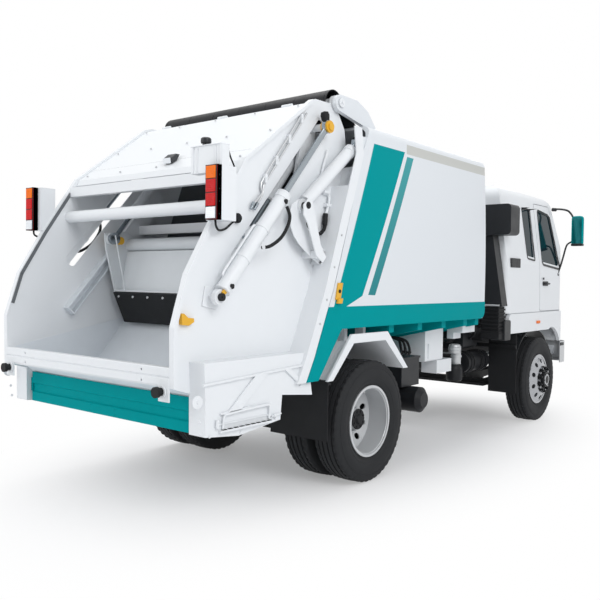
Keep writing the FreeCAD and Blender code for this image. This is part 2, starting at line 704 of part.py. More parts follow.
def build_frame():
    """Ladder frame: two channel rails with tow eyes and tilt brackets, and the crossmembers."""
    half = S.frame_half_width
    inner = half - S.frame_flange
    low = S.frame_top - S.frame_height
    channel = [
        (inner, low), (half, low), (half, S.frame_top), (inner, S.frame_top),
        (inner, S.frame_top - S.frame_wall), (half - S.frame_wall, S.frame_top - S.frame_wall),
        (half - S.frame_wall, low + S.frame_wall), (inner, low + S.frame_wall),
    ]
    length = S.frame_tail + FRAME_NOSE
    rail = slab("frame_rail", "YZ_Plane", [channel], length, (-S.frame_tail, 0, 0))
    rails = {"left": [rail], "right": [mirrored("frame_rail_right", rail)]}
    web = half - S.frame_wall
    eye_half = S.tow_eye_wall / 2
    top = S.frame_top - S.frame_wall - S.member_height - S.fit_gap
    stations = [(S.wheelbase * share, top, web) for share in FRAME_MEMBER_SHARES]
    stations.append((-S.frame_tail, top, web))
    stations.append((FRAME_NOSE - S.member_width, top - S.nose_step, web - eye_half))
    members = []
    for index, (station, height, side) in enumerate(stations):
        reach = side - S.fit_gap
        sizes = (S.member_width, reach * 2, S.member_height)
        members.append(box(f"frame_member_{index}", sizes, (station, -reach, height)))
    for name, side in (("left", web), ("right", -web)):
        outline = [
            (FRAME_NOSE - S.member_width * 1.8, low + S.frame_wall),
            (S.tow_eye_x, S.tow_eye_z - S.tow_eye_outer),
            (S.tow_eye_x + S.tow_eye_outer, S.tow_eye_z, S.tow_eye_outer),
            (S.tow_eye_x, S.tow_eye_z + S.tow_eye_outer, S.tow_eye_outer),
            (FRAME_NOSE, low + S.frame_wall * 2),
        ]
        hole = ("circle", S.tow_eye_x, S.tow_eye_z, S.tow_eye_radius)
        rails[name].append(side_plate(f"tow_eye_{name}", [outline, hole], side - eye_half,
                                      side + eye_half))
    for name, way in (("left", 1), ("right", -1)):
        start = half if way > 0 else -half - S.tow_eye_wall
        boss = S.tilt_pin * 2
        outline = [
            (S.tilt_x - boss, low + S.frame_wall), (S.tilt_x + boss, low + S.frame_wall),
            (S.tilt_x + boss, S.tilt_z), (S.tilt_x, S.tilt_z + boss, boss),
            (S.tilt_x - boss, S.tilt_z, boss),
        ]
        rails[name].append(side_plate(f"tilt_bracket_{name}", [outline], start,
                                      start + S.tow_eye_wall))
        pin = S.tow_eye_wall + S.move_gap + S.eye_wall
        start = half if way > 0 else -half - pin
        spot = (S.tilt_x, start, S.tilt_z)
        rails[name].append(rod(f"tilt_pin_{name}", S.tilt_pin, pin, spot, "Y"))
    room = box("frame_nose_room", (S.member_width * 2, half * 2, S.nose_step + S.overrun),
               (S.tilt_x - S.member_width, -half, S.frame_top - S.nose_step))
    sides = [cut(f"frame_side_{name}", fused(f"frame_set_{name}", pieces), [room])
             for name, pieces in rails.items()]
    node("chassis_frame", together("chassis_frame", sides + members))


def build_engine():
    """The engine as one block at its real place, with the gearbox and shaft behind it."""
    rear = S.engine_centre - S.engine_length / 2
    half = S.engine_width / 2
    chamfer = S.engine_width / 8
    sump = S.engine_height / 4
    outline = [
        (-half / 2, S.engine_low), (half / 2, S.engine_low), (half / 2, S.engine_low + sump),
        (half, S.engine_low + sump + chamfer), (half, S.engine_low + S.engine_height - chamfer),
        (half - chamfer, S.engine_low + S.engine_height),
        (chamfer - half, S.engine_low + S.engine_height),
        (-half, S.engine_low + S.engine_height - chamfer),
        (-half, S.engine_low + sump + chamfer), (-half / 2, S.engine_low + sump),
    ]
    node("engine", slab("engine", "YZ_Plane", [outline], S.engine_length, (rear, 0, 0)))
    axis_z = S.engine_low + S.gearbox_radius
    start = rear - S.gearbox_length
    case = cone("gearbox", (S.gearbox_radius / 2, S.gearbox_radius), S.gearbox_length,
                (start, 0, axis_z), "X")
    nose = S.diff_radius * 1.63
    shaft = slanted_rod("prop_shaft", S.shaft_radius, (nose, S.tyre_radius),
                        (start, axis_z), 0)
    node("driveline", fused("driveline", [case, shaft]))


# Tanks and boxes carried by the frame


def rounded_box(label, length, across, low, top, place_x, corner):
    """A tank along the vehicle with rounded long edges, between two y places."""
    outline = [
        (across[0] + corner, low), (across[1] - corner, low), (across[1], low + corner, corner),
        (across[1], top - corner), (across[1] - corner, top, corner), (across[0] + corner, top),
        (across[0], top - corner, corner), (across[0], low + corner),
    ]
    outline[0] = outline[0] + (corner,)
    return slab(label, "YZ_Plane", [outline], length, (place_x, 0, 0))


def frame_bracket(label, place_x, reach, low, wall, way=1):
    """A flat bracket from the rail's web out to a tank; way is -1 on the right."""
    start = S.frame_half_width if way > 0 else -S.frame_half_width - reach
    sizes = (S.member_width, reach, wall)
    return box(label, sizes, (place_x, start, low))


TANK_BRACKET_SHARES = (0.15, 0.7)
SILENCER_BAND_SHARES = (0.12, 0.8)


def build_tanks():
    """Fuel tank on the left; batteries, air tank, oil tank, filter and silencer on the right."""
    rail = S.frame_half_width
    tank_low = S.frame_top - S.fuel_tank_height - S.frame_wall * 2
    start = S.wheelbase * 0.2
    inner = rail + S.member_width / 2
    tank = rounded_box("fuel_tank_shell", S.fuel_tank_length,
                       (inner, inner + S.fuel_tank_width), tank_low,
                       tank_low + S.fuel_tank_height, start, S.tank_corner)
    neck = rod("fuel_neck", S.tank_corner / 2, S.member_width,
               (start + S.fuel_tank_length / 4, inner + S.fuel_tank_width * 0.7,
                tank_low + S.fuel_tank_height - S.frame_wall), "Z")
    holders = []
    for index, share in enumerate(TANK_BRACKET_SHARES):
        spot = start + S.fuel_tank_length * share
        holders.append(frame_bracket(f"fuel_bracket_{index}", spot, S.member_width,
                                     tank_low + S.fuel_tank_height / 2, S.member_width))
    node("fuel_tank", fused("fuel_tank", [tank, neck] + holders))

    side = -rail
    start = S.wheelbase * 0.223
    sizes = (S.member_width * 3.6, S.fuel_tank_width, S.fuel_tank_height * 0.6)
    low = S.frame_top - S.frame_height * 1.45
    crate = box("battery_case", sizes, (start, side - S.fuel_tank_width - S.member_width, low))
    lid = box("battery_lid", (sizes[0] + S.overrun, sizes[1] + S.overrun, S.overrun),
              (start - S.overrun / 2, side - S.fuel_tank_width - S.member_width - S.overrun / 2,
               low + sizes[2]))
    holder = frame_bracket("battery_bracket", start + sizes[0] / 3, S.member_width,
                           low + sizes[2] / 2, S.member_width, -1)
    node("battery_box", fused("battery_box", [crate, lid, holder]))

    tank_z = low - S.air_tank_radius - S.fit_gap
    tank_x = start + sizes[0] / 2
    ends = S.air_tank_radius / 3
    body = rod("air_tank_body", S.air_tank_radius, S.air_tank_length - ends * 2,
               (tank_x, side - S.air_tank_length + ends - S.member_width / 2, tank_z), "Y")
    near = cone("air_tank_end_in", (S.air_tank_radius, S.air_tank_radius * 0.6), ends,
                (tank_x, side - ends - S.member_width / 2, tank_z), "Y")
    far = cone("air_tank_end_out", (S.air_tank_radius * 0.6, S.air_tank_radius), ends,
               (tank_x, side - S.air_tank_length - S.member_width / 2, tank_z), "Y")
    node("air_tank", fused("air_tank", [body, near, far]))

    start = S.wheelbase * 0.377
    reach = S.frame_height * 2
    oil_low = S.frame_top - S.frame_height * 0.6
    oil = rounded_box("oil_tank_shell", S.frame_height * 1.7, (side - reach, side - S.fit_gap),
                      oil_low, S.body_floor - S.member_width, start, S.leaf_thickness * 2)
    cap = rod("oil_cap", S.pipe_radius, S.member_width / 2,
              (start + S.frame_height * 0.4, side - reach * 0.75,
               S.body_floor - S.member_width - S.frame_wall), "Z")
    small = box("valve_box", (S.frame_height * 1.45, S.member_width * 2, S.frame_height * 0.62),
                (start + S.frame_height * 1.15, side - reach,
                 oil_low - S.frame_height * 0.62))
    node("oil_tank", fused("oil_tank", [oil, cap, small]))

    spot_x = start + S.frame_height * 3.7
    spot_y = side - reach * 0.85
    filter_low = S.frame_top - S.frame_height * 1.6
    can = rod("filter_can", S.pipe_radius * 1.3, S.frame_height * 1.5,
              (spot_x, spot_y, filter_low), "Z")
    collar = rod("filter_collar", S.pipe_radius * 1.5, S.overrun,
                 (spot_x, spot_y, filter_low + S.frame_height * 0.95), "Z")
    holder = box("filter_bracket", (S.member_width, reach * 0.85, S.frame_wall),
                 (spot_x - S.member_width / 2, spot_y, S.frame_top - S.frame_height / 2))
    node("oil_filter", fused("oil_filter", [can, collar, holder]))

    spot_x = S.wheelbase * 0.64
    spot_y = side - S.silencer_radius * 3
    spot_z = S.frame_top - S.frame_height
    drum = rod("silencer_drum", S.silencer_radius, S.silencer_length,
               (spot_x, spot_y, spot_z), "X")
    rings = []
    for index, share in enumerate(SILENCER_BAND_SHARES):
        rings.append(rod(f"silencer_band_{index}", S.silencer_radius + S.frame_wall,
                         S.overrun * 2, (spot_x + S.silencer_length * share, spot_y, spot_z), "X"))
        rings.append(box(f"silencer_hanger_{index}",
                         (S.overrun * 2, S.silencer_radius * 3, S.frame_wall),
                         (spot_x + S.silencer_length * share, spot_y, spot_z)))
    tail = rod("tail_pipe", S.pipe_radius, S.silencer_length * 0.15,
               (spot_x - S.silencer_length * 0.15, spot_y, spot_z - S.pipe_radius), "X")
    node("silencer", fused("silencer", [drum, tail] + rings))

    sizes = (S.frame_height * 1.6, S.frame_height * 1.7, S.frame_height * 1.45)
    spot = (S.cab_rear - sizes[0] * 1.05, side - sizes[1] - S.frame_wall, S.frame_top
            - S.frame_height * 0.3)
    cleaner = rounded_box("cleaner_case", sizes[0], (spot[1], spot[1] + sizes[1]), spot[2],
                          spot[2] + sizes[2], spot[0], S.overrun * 2)
    holder = frame_bracket("cleaner_bracket", spot[0] + sizes[0] / 3, S.member_width,
                           spot[2] + S.frame_wall, S.frame_wall, -1)
    node("air_cleaner", fused("air_cleaner", [cleaner, holder]))


# Refuse body

SEAM_SHARES = ((0.1046, 0.942), (0.0885, 0.874), (0.1736, 0.7176), (0.2777, 0.5219),
               (0.3886, 0.3554), (0.4339, 0.2993))


def seam(back):
    """Corners of the seam between body and tailgate, from the top, moved back by a length."""
    return [(-S.tail_reach * x - back, S.tail_top * z) for x, z in SEAM_SHARES]


def seam_at(height, back):
    """The place on the seam's long lower slope at one height."""
    low = seam(back)[4]
    high = seam(back)[3]
    share = (height - low[1]) / (high[1] - low[1])
    return (low[0] + (high[0] - low[0]) * share, height)


def body_section(inset, floor):
    """Cross-section of the body: stepped foot, bulging sides and rounded roof edges."""
    half = S.body_half_width - inset
    top = S.body_roof - inset
    foot = half - S.skirt_wall
    step = S.body_floor + S.skirt_height
    lean = half - S.body_lean
    shoulder = S.body_roof - S.body_edge - S.body_lean
    corner = lean - S.body_edge
    return [
        (-foot, floor), (foot, floor), (foot, step), (half, step),
        (lean, shoulder, S.body_bulge), (lean, top - S.body_edge),
        (corner, top, S.body_edge), (-corner, top), (-lean, top - S.body_edge, S.body_edge),
        (-lean, shoulder), (-half, step, S.body_bulge), (-foot, step),
    ]


def build_body():
    """Hollow refuse body, open to the tailgate, with the lugs that carry the tailgate."""
    length = S.body_front + S.tail_reach / 2
    rear = -S.tail_reach / 2
    solid = slab("body_block", "YZ_Plane", [body_section(0, S.body_floor)], length,
                 (rear, 0, 0))
    edge = seam(0)
    roof_rear = -S.tail_reach * 0.015
    foot = seam_at(S.body_floor - S.overrun, 0)
    profile = [
        foot, (S.body_front, foot[1]), (S.body_front, S.body_roof + S.overrun),
        (roof_rear, S.body_roof + S.overrun), edge[1], edge[2], edge[3],
    ]
    half = S.body_half_width + S.overrun
    trimmed = common("body_trimmed", [solid, side_plate("body_side_cutter", [profile], -half,
                                                        half)])
    room = slab("body_room", "YZ_Plane", [body_section(S.body_wall, S.body_floor + S.body_base)],
                length - S.body_wall, (rear, 0, 0))
    shell = cut("body_hollow", trimmed, [room])

    lugs = []
    boss = S.hinge_boss
    lug_low = S.tail_half_width + S.move_gap * 2
    outline = [
        (-S.hinge_back, S.hinge_z - boss), (roof_rear + boss / 2, S.body_roof),
        (S.hinge_back / 2, S.body_roof), (S.hinge_back / 8, S.hinge_z),
        (-S.hinge_back / 3, S.hinge_z + boss), (-S.hinge_back, S.hinge_z + boss),
        (-S.hinge_back - boss, S.hinge_z, boss),
    ]
    outline[0] = outline[0] + (boss,)
    lug = side_plate("hinge_lug", [outline], lug_low, lug_low + S.lug_wall)
    lugs.append(lug)
    lugs.append(mirrored("hinge_lug_right", lug))
    pin_low = S.tail_half_width - S.plate_wall
    for name, way in (("left", 1), ("right", -1)):
        reach = lug_low + S.lug_wall + S.move_gap
        start = pin_low if way > 0 else -reach
        spot = (-S.hinge_back, start, S.hinge_z)
        lugs.append(rod(f"hinge_pin_{name}", S.hinge_pin, reach - pin_low, spot, "Y"))
    eye = (-S.lift_eye_back, S.lift_eye_z)
    ring = S.eye_radius
    outline = [
        (eye[0], eye[1] - ring), (eye[0] + ring * 2.4, eye[1] - ring * 1.8),
        (eye[0] + ring * 2.4, eye[1] + ring), (eye[0], eye[1] + ring),
        (eye[0] - ring, eye[1], ring),
    ]
    outline[0] = outline[0] + (ring,)
    start = S.lift_y + S.lift_rod + S.pin_gap * 1.6
    lug = side_plate("lift_lug", [outline], start, start + S.lug_wall * 0.75)
    lugs += [lug, mirrored("lift_lug_right", lug)]
    node("body_shell", fused("body_shell", [shell] + lugs))


def build_hood():
    """Dark hood over the hinge line: a half-round sheet with a flat foot on the roof."""
    outer = S.hood_radius
    inner = outer - S.hood_wall
    centre = (-S.hinge_back, S.hinge_z)
    roof = (-S.tail_reach * 0.015, S.body_roof + S.fit_gap)
    foot = roof[0] + S.hinge_back / 2
    outline = [
        (centre[0] - outer, centre[1]), (centre[0] - inner, centre[1]),
        (centre[0], centre[1] + inner, -inner), (centre[0] + inner, centre[1], -inner),
        (roof[0], roof[1]), (foot, roof[1]), (foot, roof[1] + S.hood_wall),
        (roof[0] + S.hood_wall / 2, roof[1] + S.hood_wall), (centre[0] + outer, centre[1]),
        (centre[0], centre[1] + outer, outer),
    ]
    outline[0] = outline[0] + (outer,)
    half = S.tail_half_width - S.plate_wall - S.move_gap
    node("rain_hood", side_plate("rain_hood", [outline], -half, half))


def build_skirt():
    """Side skirt with a rounded front corner and a tail that follows the seam down."""
    low = S.body_floor
    top = low + S.skirt_height
    front = S.body_front + S.skirt_wall / 2
    edge = seam(0)
    arch = S.wheelbase * 0.19
    tail_low = edge[5]
    outline = [
        (front - S.skirt_corner, low), (front, low + S.skirt_corner, S.skirt_corner),
        (front, top), seam_at(top, 0), edge[4], tail_low,
        (-arch * 1.08, tail_low[1]), (-arch * 0.66, low),
    ]
    inner = S.body_half_width - S.skirt_wall + S.fit_gap
    plate = side_plate("skirt_plate", [outline], inner, S.body_half_width)
    node("body_skirt", both_sides("body_skirt", plate))


MEMBER_SHARES = (-0.32, 0.155, 0.39, 0.61, 0.83, 0.955)


def build_subframe():
    """Two long beams on the frame and the crossmembers under the body's floor."""
    low = S.frame_top
    half = S.frame_half_width
    rise = (S.body_floor - low) / 3
    pieces = []
    tail = -S.tail_reach * 0.33
    length = S.body_front - tail
    for name, side in (("left", half - S.subframe_width), ("right", -half)):
        pieces.append(box(f"sub_beam_{name}", (length, S.subframe_width, rise),
                          (tail, side, low)))
    reach = S.body_half_width - S.skirt_wall * 3
    knee = half + S.subframe_width * 1.5
    end = S.body_floor - rise * 0.7
    outline = [
        (-reach, S.body_floor), (-reach, end), (-knee, low + rise), (knee, low + rise),
        (reach, end), (reach, S.body_floor),
    ]
    for index, share in enumerate(MEMBER_SHARES):
        pieces.append(slab(f"sub_member_{index}", "YZ_Plane", [outline], S.subframe_width,
                           (S.body_front * share, 0, 0)))
    node("subframe", fused("subframe", pieces))


ARCH_SHARES = ((-1.163, 1.784), (-0.621, 2.32), (0.297, 2.32), (0.888, 1.802))
ARCH_MOVE_SHARES = ((-1, 0), (-0.45, 1), (0.45, 1), (1, 0))
ARCH_STAY_SHARES = (0.15, 0.72)


def front_flap():
    """Flap behind the left front wheel, clear of the wheel's turn, and the bar it hangs from."""
    turn = distance(S.tyre_radius, S.front_track_half + S.tyre_width / 2 - S.kingpin_half_span)
    back = S.wheelbase - turn - S.soft_corner - S.frame_wall
    inner = S.front_track_half - S.tyre_width
    low = S.tyre_radius * 0.78
    flap = box("front_flap", (S.frame_wall, S.cab_half_width - inner,
                              S.fender_low - S.overrun - low), (back, inner, low))
    start = S.frame_half_width + S.fit_gap
    bar = box("front_flap_bar", (S.overrun, S.cab_half_width - start, S.overrun * 2),
              (back - S.overrun, start, S.frame_top - S.overrun * 4))
    return fused("front_flap_set", [flap, bar])


def build_mudguards():
    """Angular guard over each pair of rear wheels with its flap, and the front wheels' flaps."""
    wall = S.frame_wall
    band = S.member_width * 0.8
    inner = [(S.tyre_radius * x, S.tyre_radius * z) for x, z in ARCH_SHARES]
    face = [(point[0] + band * move[0], point[1] + band * move[1])
            for point, move in zip(inner, ARCH_MOVE_SHARES)]
    sheet = [(point[0] + wall * move[0], point[1] + wall * move[1])
             for point, move in zip(inner, ARCH_MOVE_SHARES)]
    outer_y = S.body_half_width + S.skirt_wall
    inner_y = S.rear_track_half - S.dual_spacing - S.tyre_width / 2 - S.move_gap
    trim = side_plate("arch_trim", [inner + face[::-1]], outer_y - S.skirt_wall + S.fit_gap,
                      outer_y)
    roof = side_plate("arch_sheet", [inner + sheet[::-1]], inner_y, outer_y)
    pieces = [trim, roof]
    for index, share in enumerate(ARCH_STAY_SHARES):
        spot_x = inner[1][0] + (inner[2][0] - inner[1][0]) * share
        sizes = (S.subframe_width / 2, S.subframe_width, S.body_floor - inner[1][1])
        pieces.append(box(f"arch_stay_{index}", sizes,
                          (spot_x, S.rear_track_half - S.subframe_width, inner[1][1])))
    node("rear_mudguards", both_sides("rear_mudguards", fused("arch_set", pieces)))

    flap_x = inner[0][0] - wall * 5
    sizes = (wall, S.rear_track_half + S.tyre_width / 2 - inner_y, S.tyre_radius * 0.92)
    top = inner[0][1] - S.fit_gap
    rear = box("rear_flap", sizes, (flap_x, inner_y, top - sizes[2]))
    holder = box("rear_flap_bar", (wall * 4 - S.fit_gap, sizes[1], wall * 2),
                 (flap_x + wall, inner_y, top - wall * 4))
    pair = together("flap_pair", [fused("flap_set", [rear, holder]), front_flap()])
    node("mud_flaps", both_sides("mud_flaps", pair))


def build_pusher():
    """The panel that pushes the load out: an upright face on a braced sledge."""
    gap = S.move_gap
    half = S.body_half_width - S.body_wall - S.skirt_wall - S.body_lean - gap
    low = S.body_floor + S.body_base
    front = S.body_front - S.body_wall - gap
    top = S.body_roof - S.body_wall - S.body_edge - gap
    wall = S.plate_wall
    depth = S.body_front * 0.24
    face = [
        (front - depth * 0.4, top), (front - depth * 0.4 - wall, top),
        (front - depth - wall, low + S.pin_gap), (front - depth, low + S.pin_gap),
    ]
    foot = [
        (front, low + S.pin_gap), (front, low + S.member_width),
        (front - depth, low + S.member_width), (front - depth, low + S.pin_gap),
    ]
    pieces = [side_plate("pusher_face", [face], -half, half)]
    for index, side in enumerate((-half, -half / 3, half / 3 - wall, half - wall)):
        web = [
            (front, low + S.pin_gap), (front, low + S.member_width * 2),
            (front - depth * 0.4, top), (front - depth * 0.4 - wall, top),
            (front - depth - wall, low + S.pin_gap),
        ]
        pieces.append(side_plate(f"pusher_web_{index}", [web], side, side + wall))
    pieces.append(side_plate("pusher_foot", [foot], -half, half))
    node("pusher", fused("pusher", pieces))


# Outline helpers


def flat(point):
    return FreeCAD.Vector(value_of(point[0]), value_of(point[1]), 0)


def beside(points, width):
    """An open line moved by a width to the left of its way, with mitred corners."""
    moved = []
    for index, point in enumerate(points):
        before = flat(points[max(index - 1, 0)])
        here = flat(point)
        after = flat(points[min(index + 1, len(points) - 1)])
        first = (here - before) if index else (after - here)
        last = (after - here) if index < len(points) - 1 else first
        normals = []
        for way in (first, last):
            normals.append(FreeCAD.Vector(-way.y, way.x, 0).normalize())
        middle = normals[0] + normals[1]
        middle = middle * (2 / middle.Length ** 2)
        moved.append((point[0] + width * middle.x, point[1] + width * middle.y))
    return moved


def strip(points, width):
    """A closed outline between a line and the same line moved to its left."""
    return list(points) + beside(points, width)[::-1]


def softened(points, radius):
    """A closed outline of straight sides with rounded corners."""
    count = len(points)
    spots = [flat(point) for point in points]
    area = 0
    for index, spot in enumerate(spots):
        after = spots[(index + 1) % count]
        area += spot.x * after.y - after.x * spot.y
    outline = []
    for index, spot in enumerate(spots):
        inward = (spots[index - 1] - spot).normalize()
        onward = (spots[(index + 1) % count] - spot).normalize()
        turn = inward.getAngle(onward)
        reach = 1 / math.tan(turn / 2)
        corner = points[index]
        cross = inward.x * onward.y - inward.y * onward.x
        bulge = radius if cross < 0 else -radius
        outline.append((corner[0] + radius * (inward.x * reach),
                        corner[1] + radius * (inward.y * reach)))
        outline.append((corner[0] + radius * (onward.x * reach),
                        corner[1] + radius * (onward.y * reach), bulge))
    return outline


# Tailgate with its hopper

TAIL_SHARES = ((0.9976, 0.320), (0.9999, 0.4456), (0.9484, 0.554), (0.8478, 0.6631),
               (0.6897, 0.817), (0.3351, 0.9919), (0.2967, 0.999))
FOOT_SHARES = ((0.4037, 0.3343), (0.3833, 0.2662), (0.552, 0.2788), (0.5603, 0.2223),
               (0.7665, 0.2068), (0.9154, 0.2178), (0.9168, 0.3041))


def tail_points(shares, rise=0):
    return [(-S.tail_reach * x, S.tail_top * z + rise) for x, z in shares]


def seam_between(upper, share, back):
    """A place on one stretch of the seam, a share of the way down it."""
    first = seam(back)[upper]
    last = seam(back)[upper + 1]
    across = first[0] + (last[0] - first[0]) * share
    return (across, first[1] + (last[1] - first[1]) * share)


def hinge_place():
    return (-S.hinge_back, S.hinge_z)


def carriage_down():
    """The blade's pivot with the carriage at the low end of its stroke."""
    back = S.pivot_back + S.stroke * cosine(S.rail_slope)
    return (-back, S.pivot_z - S.stroke * sine(S.rail_slope))


def along_rail(start, along, across):
    """A place given along the rails' slope and square to it, from a start."""
    x = start[0] + cosine(S.rail_slope) * along - sine(S.rail_slope) * across
    z = start[1] + sine(S.rail_slope) * along + cosine(S.rail_slope) * across
    return (x, z)


def rail_points(start, places):
    return [along_rail(start, along, across) for along, across in places]


def plate_outline():
    rear = tail_points(TAIL_SHARES)
    front = seam(S.seam_gap)
    foot = tail_points(FOOT_SHARES)
    top = (-S.hinge_back, S.tail_top)
    return rear + [top, front[0], front[1], front[2], front[3], front[4]] + foot


def side_frames():
    """The two side plates with rims, front posts and lower boxes."""
    inner = S.tail_half_width - S.plate_wall
    outer = S.body_half_width
    half = S.tail_half_width
    pieces = [side_plate("tail_plate", [plate_outline()], inner, half)]
    rear = tail_points(TAIL_SHARES)[:6]
    rim = strip(rear, -S.edge_band)
    pieces.append(side_plate("tail_rim", [rim], half, half + S.edge_rim))
    wall = S.plate_wall
    posts = S.post_width
    gap = S.seam_gap
    stretches = (
        ("post_face", outer - wall, outer, gap, gap + posts, (0, 0)),
        ("post_front", half, outer - wall, gap, gap + wall, (1, 0.2)),
        ("post_back", half, outer - wall, gap + posts - wall, gap + posts, (1, 0.55)),
    )
    for label, low, high, near, far, first in stretches:
        upper, share = first
        line = []
        for back in (near, far):
            side = [seam_between(upper, share, back)]
            side += [seam(back)[index] for index in range(upper + 1, 6)]
            line.append(side)
        pieces.append(side_plate(label, [line[0] + line[1][::-1]], low, high))
    foot = tail_points(FOOT_SHARES)
    top = S.sill_top + S.edge_band
    case = [
        (-S.tail_reach * 0.9227, top), (foot[0][0] - S.edge_band * 2, top), foot[0], foot[1],
        foot[2], foot[3], foot[4], foot[5], foot[6],
    ]
    pieces.append(side_plate("side_box", [case], half, S.side_box_half_width))
    boss_low = inner - wall
    spot = (-S.hinge_back, boss_low, S.hinge_z)
    pieces.append(rod("tail_boss", S.hinge_boss, half + S.move_gap - boss_low, spot, "Y"))
    whole = fused("side_frame", pieces)
    slot_start = carriage_down()
    slot = rail_points(slot_start, [(S.stroke * along, S.stroke * across)
                                    for along, across in SLOT_SHARES])
    tools = [
        side_plate("packing_slot", [softened(slot, S.pipe_radius)], inner - S.overrun,
                   half + S.overrun * 3),
        rod("hinge_bore", S.hinge_pin + S.pin_gap, S.overrun * 4,
            (-S.hinge_back, inner - S.overrun, S.hinge_z), "Y"),
    ]
    return cut("side_frame_cut", whole, tools)


LIFT_HOLE_SHARES = ((-0.723, 0.23), (0.723, 0.23), (-0.723, 0.77), (0.723, 0.77))
KNEE_SHARES = ((0.7101, 0.7774),)
COVER_SHARES = ((0.2335, 0.9916), (0.3016, 0.99), (0.3307, 0.9834), (0.6809, 0.8114),
                (0.691, 0.7958))
HEM_SHARES = ((0.615, 0.8438), (0.627, 0.838))
SLOT_SHARES = ((0.244, 0.362), (2.5, 0.362), (2.5, 0.53), (0.244, 0.53))


def build_tailgate():
    """Frame of the tailgate: two side frames tied by tubes, a beam and the sill."""
    inner = S.tail_half_width - S.plate_wall
    left = side_frames()
    pieces = [left, mirrored("side_frame_right", left)]
    pieces.append(rod("cross_tube_bar", S.cross_tube, inner * 2,
                      (-S.cross_tube_back, -inner, S.cross_tube_z), "Y"))
    pieces.append(rod("hinge_tube_bar", S.hinge_tube, inner * 2,
                      (-S.hinge_back, -inner, S.hinge_z), "Y"))
    knee = tail_points(KNEE_SHARES)[0]
    pieces.append(box("hatch_beam", (S.beam_tall, inner * 2, S.beam_depth),
                      (knee[0] - S.beam_tall / 2, -inner, knee[1] - S.beam_depth / 2)))
    low = S.sill_top - S.sill_tall
    sill = [
        (-S.tail_reach, low + S.floor_wall * 2), (-S.tail_reach, low + S.sill_tall * 0.42),
        (-S.tail_reach + S.floor_wall, low + S.sill_tall * 0.5),
        (-S.tail_reach, low + S.sill_tall * 0.58), (-S.tail_reach, S.sill_top - S.floor_wall),
        (-S.tail_reach + S.floor_wall, S.sill_top, -S.floor_wall),
        (-S.tail_reach + S.sill_deep, S.sill_top), (-S.tail_reach + S.sill_deep, low),
        (-S.tail_reach + S.floor_wall * 2, low),
    ]
    bar = side_plate("sill_bar", [sill], -inner, inner)
    holes = []
    for index, (side, height) in enumerate(LIFT_HOLE_SHARES):
        spot = (-S.tail_reach - S.overrun, inner * side, low + S.sill_tall * height)
        holes.append(rod(f"lift_hole_{index}", S.floor_wall, S.sill_deep * 2, spot, "X"))
    pieces.append(cut("sill_drilled", bar, holes))
    eye = (-S.lift_low_back, S.lift_low_z)
    bracket = [
        (eye[0] - S.eye_radius, eye[1] - S.eye_radius * 1.4), (eye[0], eye[1] - S.eye_radius * 2.6),
        (eye[0] + S.eye_radius * 2, eye[1] - S.eye_radius * 7),
        (eye[0] + S.eye_radius * 3.6, eye[1] - S.eye_radius * 8),
        (eye[0] + S.eye_radius * 4.4, eye[1] - S.eye_radius * 7.2),
        (eye[0] + S.eye_radius * 3, eye[1] - S.eye_radius * 5.4),
        (eye[0] + S.eye_radius, eye[1] + S.eye_radius * 0.6),
        (eye[0], eye[1] + S.eye_radius, S.eye_radius * 1.2), (eye[0] - S.eye_radius, eye[1]),
    ]
    plate_low = S.lift_y + S.lift_barrel + S.move_gap
    plate = side_plate("lift_bracket", [bracket], plate_low, plate_low + S.plate_wall)
    pin = rod("lift_pin", S.eye_pin, plate_low + S.plate_wall - S.tail_half_width,
              (eye[0], S.tail_half_width, eye[1]), "Y")
    stay = box("lift_stay", (S.eye_radius * 1.4, plate_low - S.tail_half_width, S.eye_radius),
               (eye[0] + S.eye_radius * 2.2, S.tail_half_width, eye[1] - S.eye_radius * 7.4))
    pieces += [plate, pin, stay]
    for index, piece in enumerate((plate, pin, stay)):
        pieces.append(mirrored(f"lift_mount_right_{index}", piece))
    lamp_edge = S.lamp_y + S.lamp_width / 2
    lamp_back = -S.lamp_back + S.lamp_depth + S.fit_gap
    lamp_box = box("lamp_bracket", (S.lamp_depth * 3.2, lamp_edge - S.tail_half_width,
                                    S.lamp_height),
                   (lamp_back, S.tail_half_width, S.lamp_low))
    housing = box("lamp_housing", (S.housing_depth, S.housing_width, S.housing_height),
                  (lamp_back, -lamp_edge, S.lamp_low + S.lamp_height - S.overrun * 2))
    pieces.append(housing)
    step = box("buffer_bracket", (S.plate_wall, S.lamp_width, S.sill_tall),
               (-S.tail_reach, inner - S.lamp_width, low - S.sill_tall * 0.7))
    for index, piece in enumerate((lamp_box, step)):
        pieces += [piece, mirrored(f"rear_bracket_right_{index}", piece)]
    node("tailgate_frame", fused("tailgate_frame", pieces))


RIB_SHARES = (-0.6, 0.6)


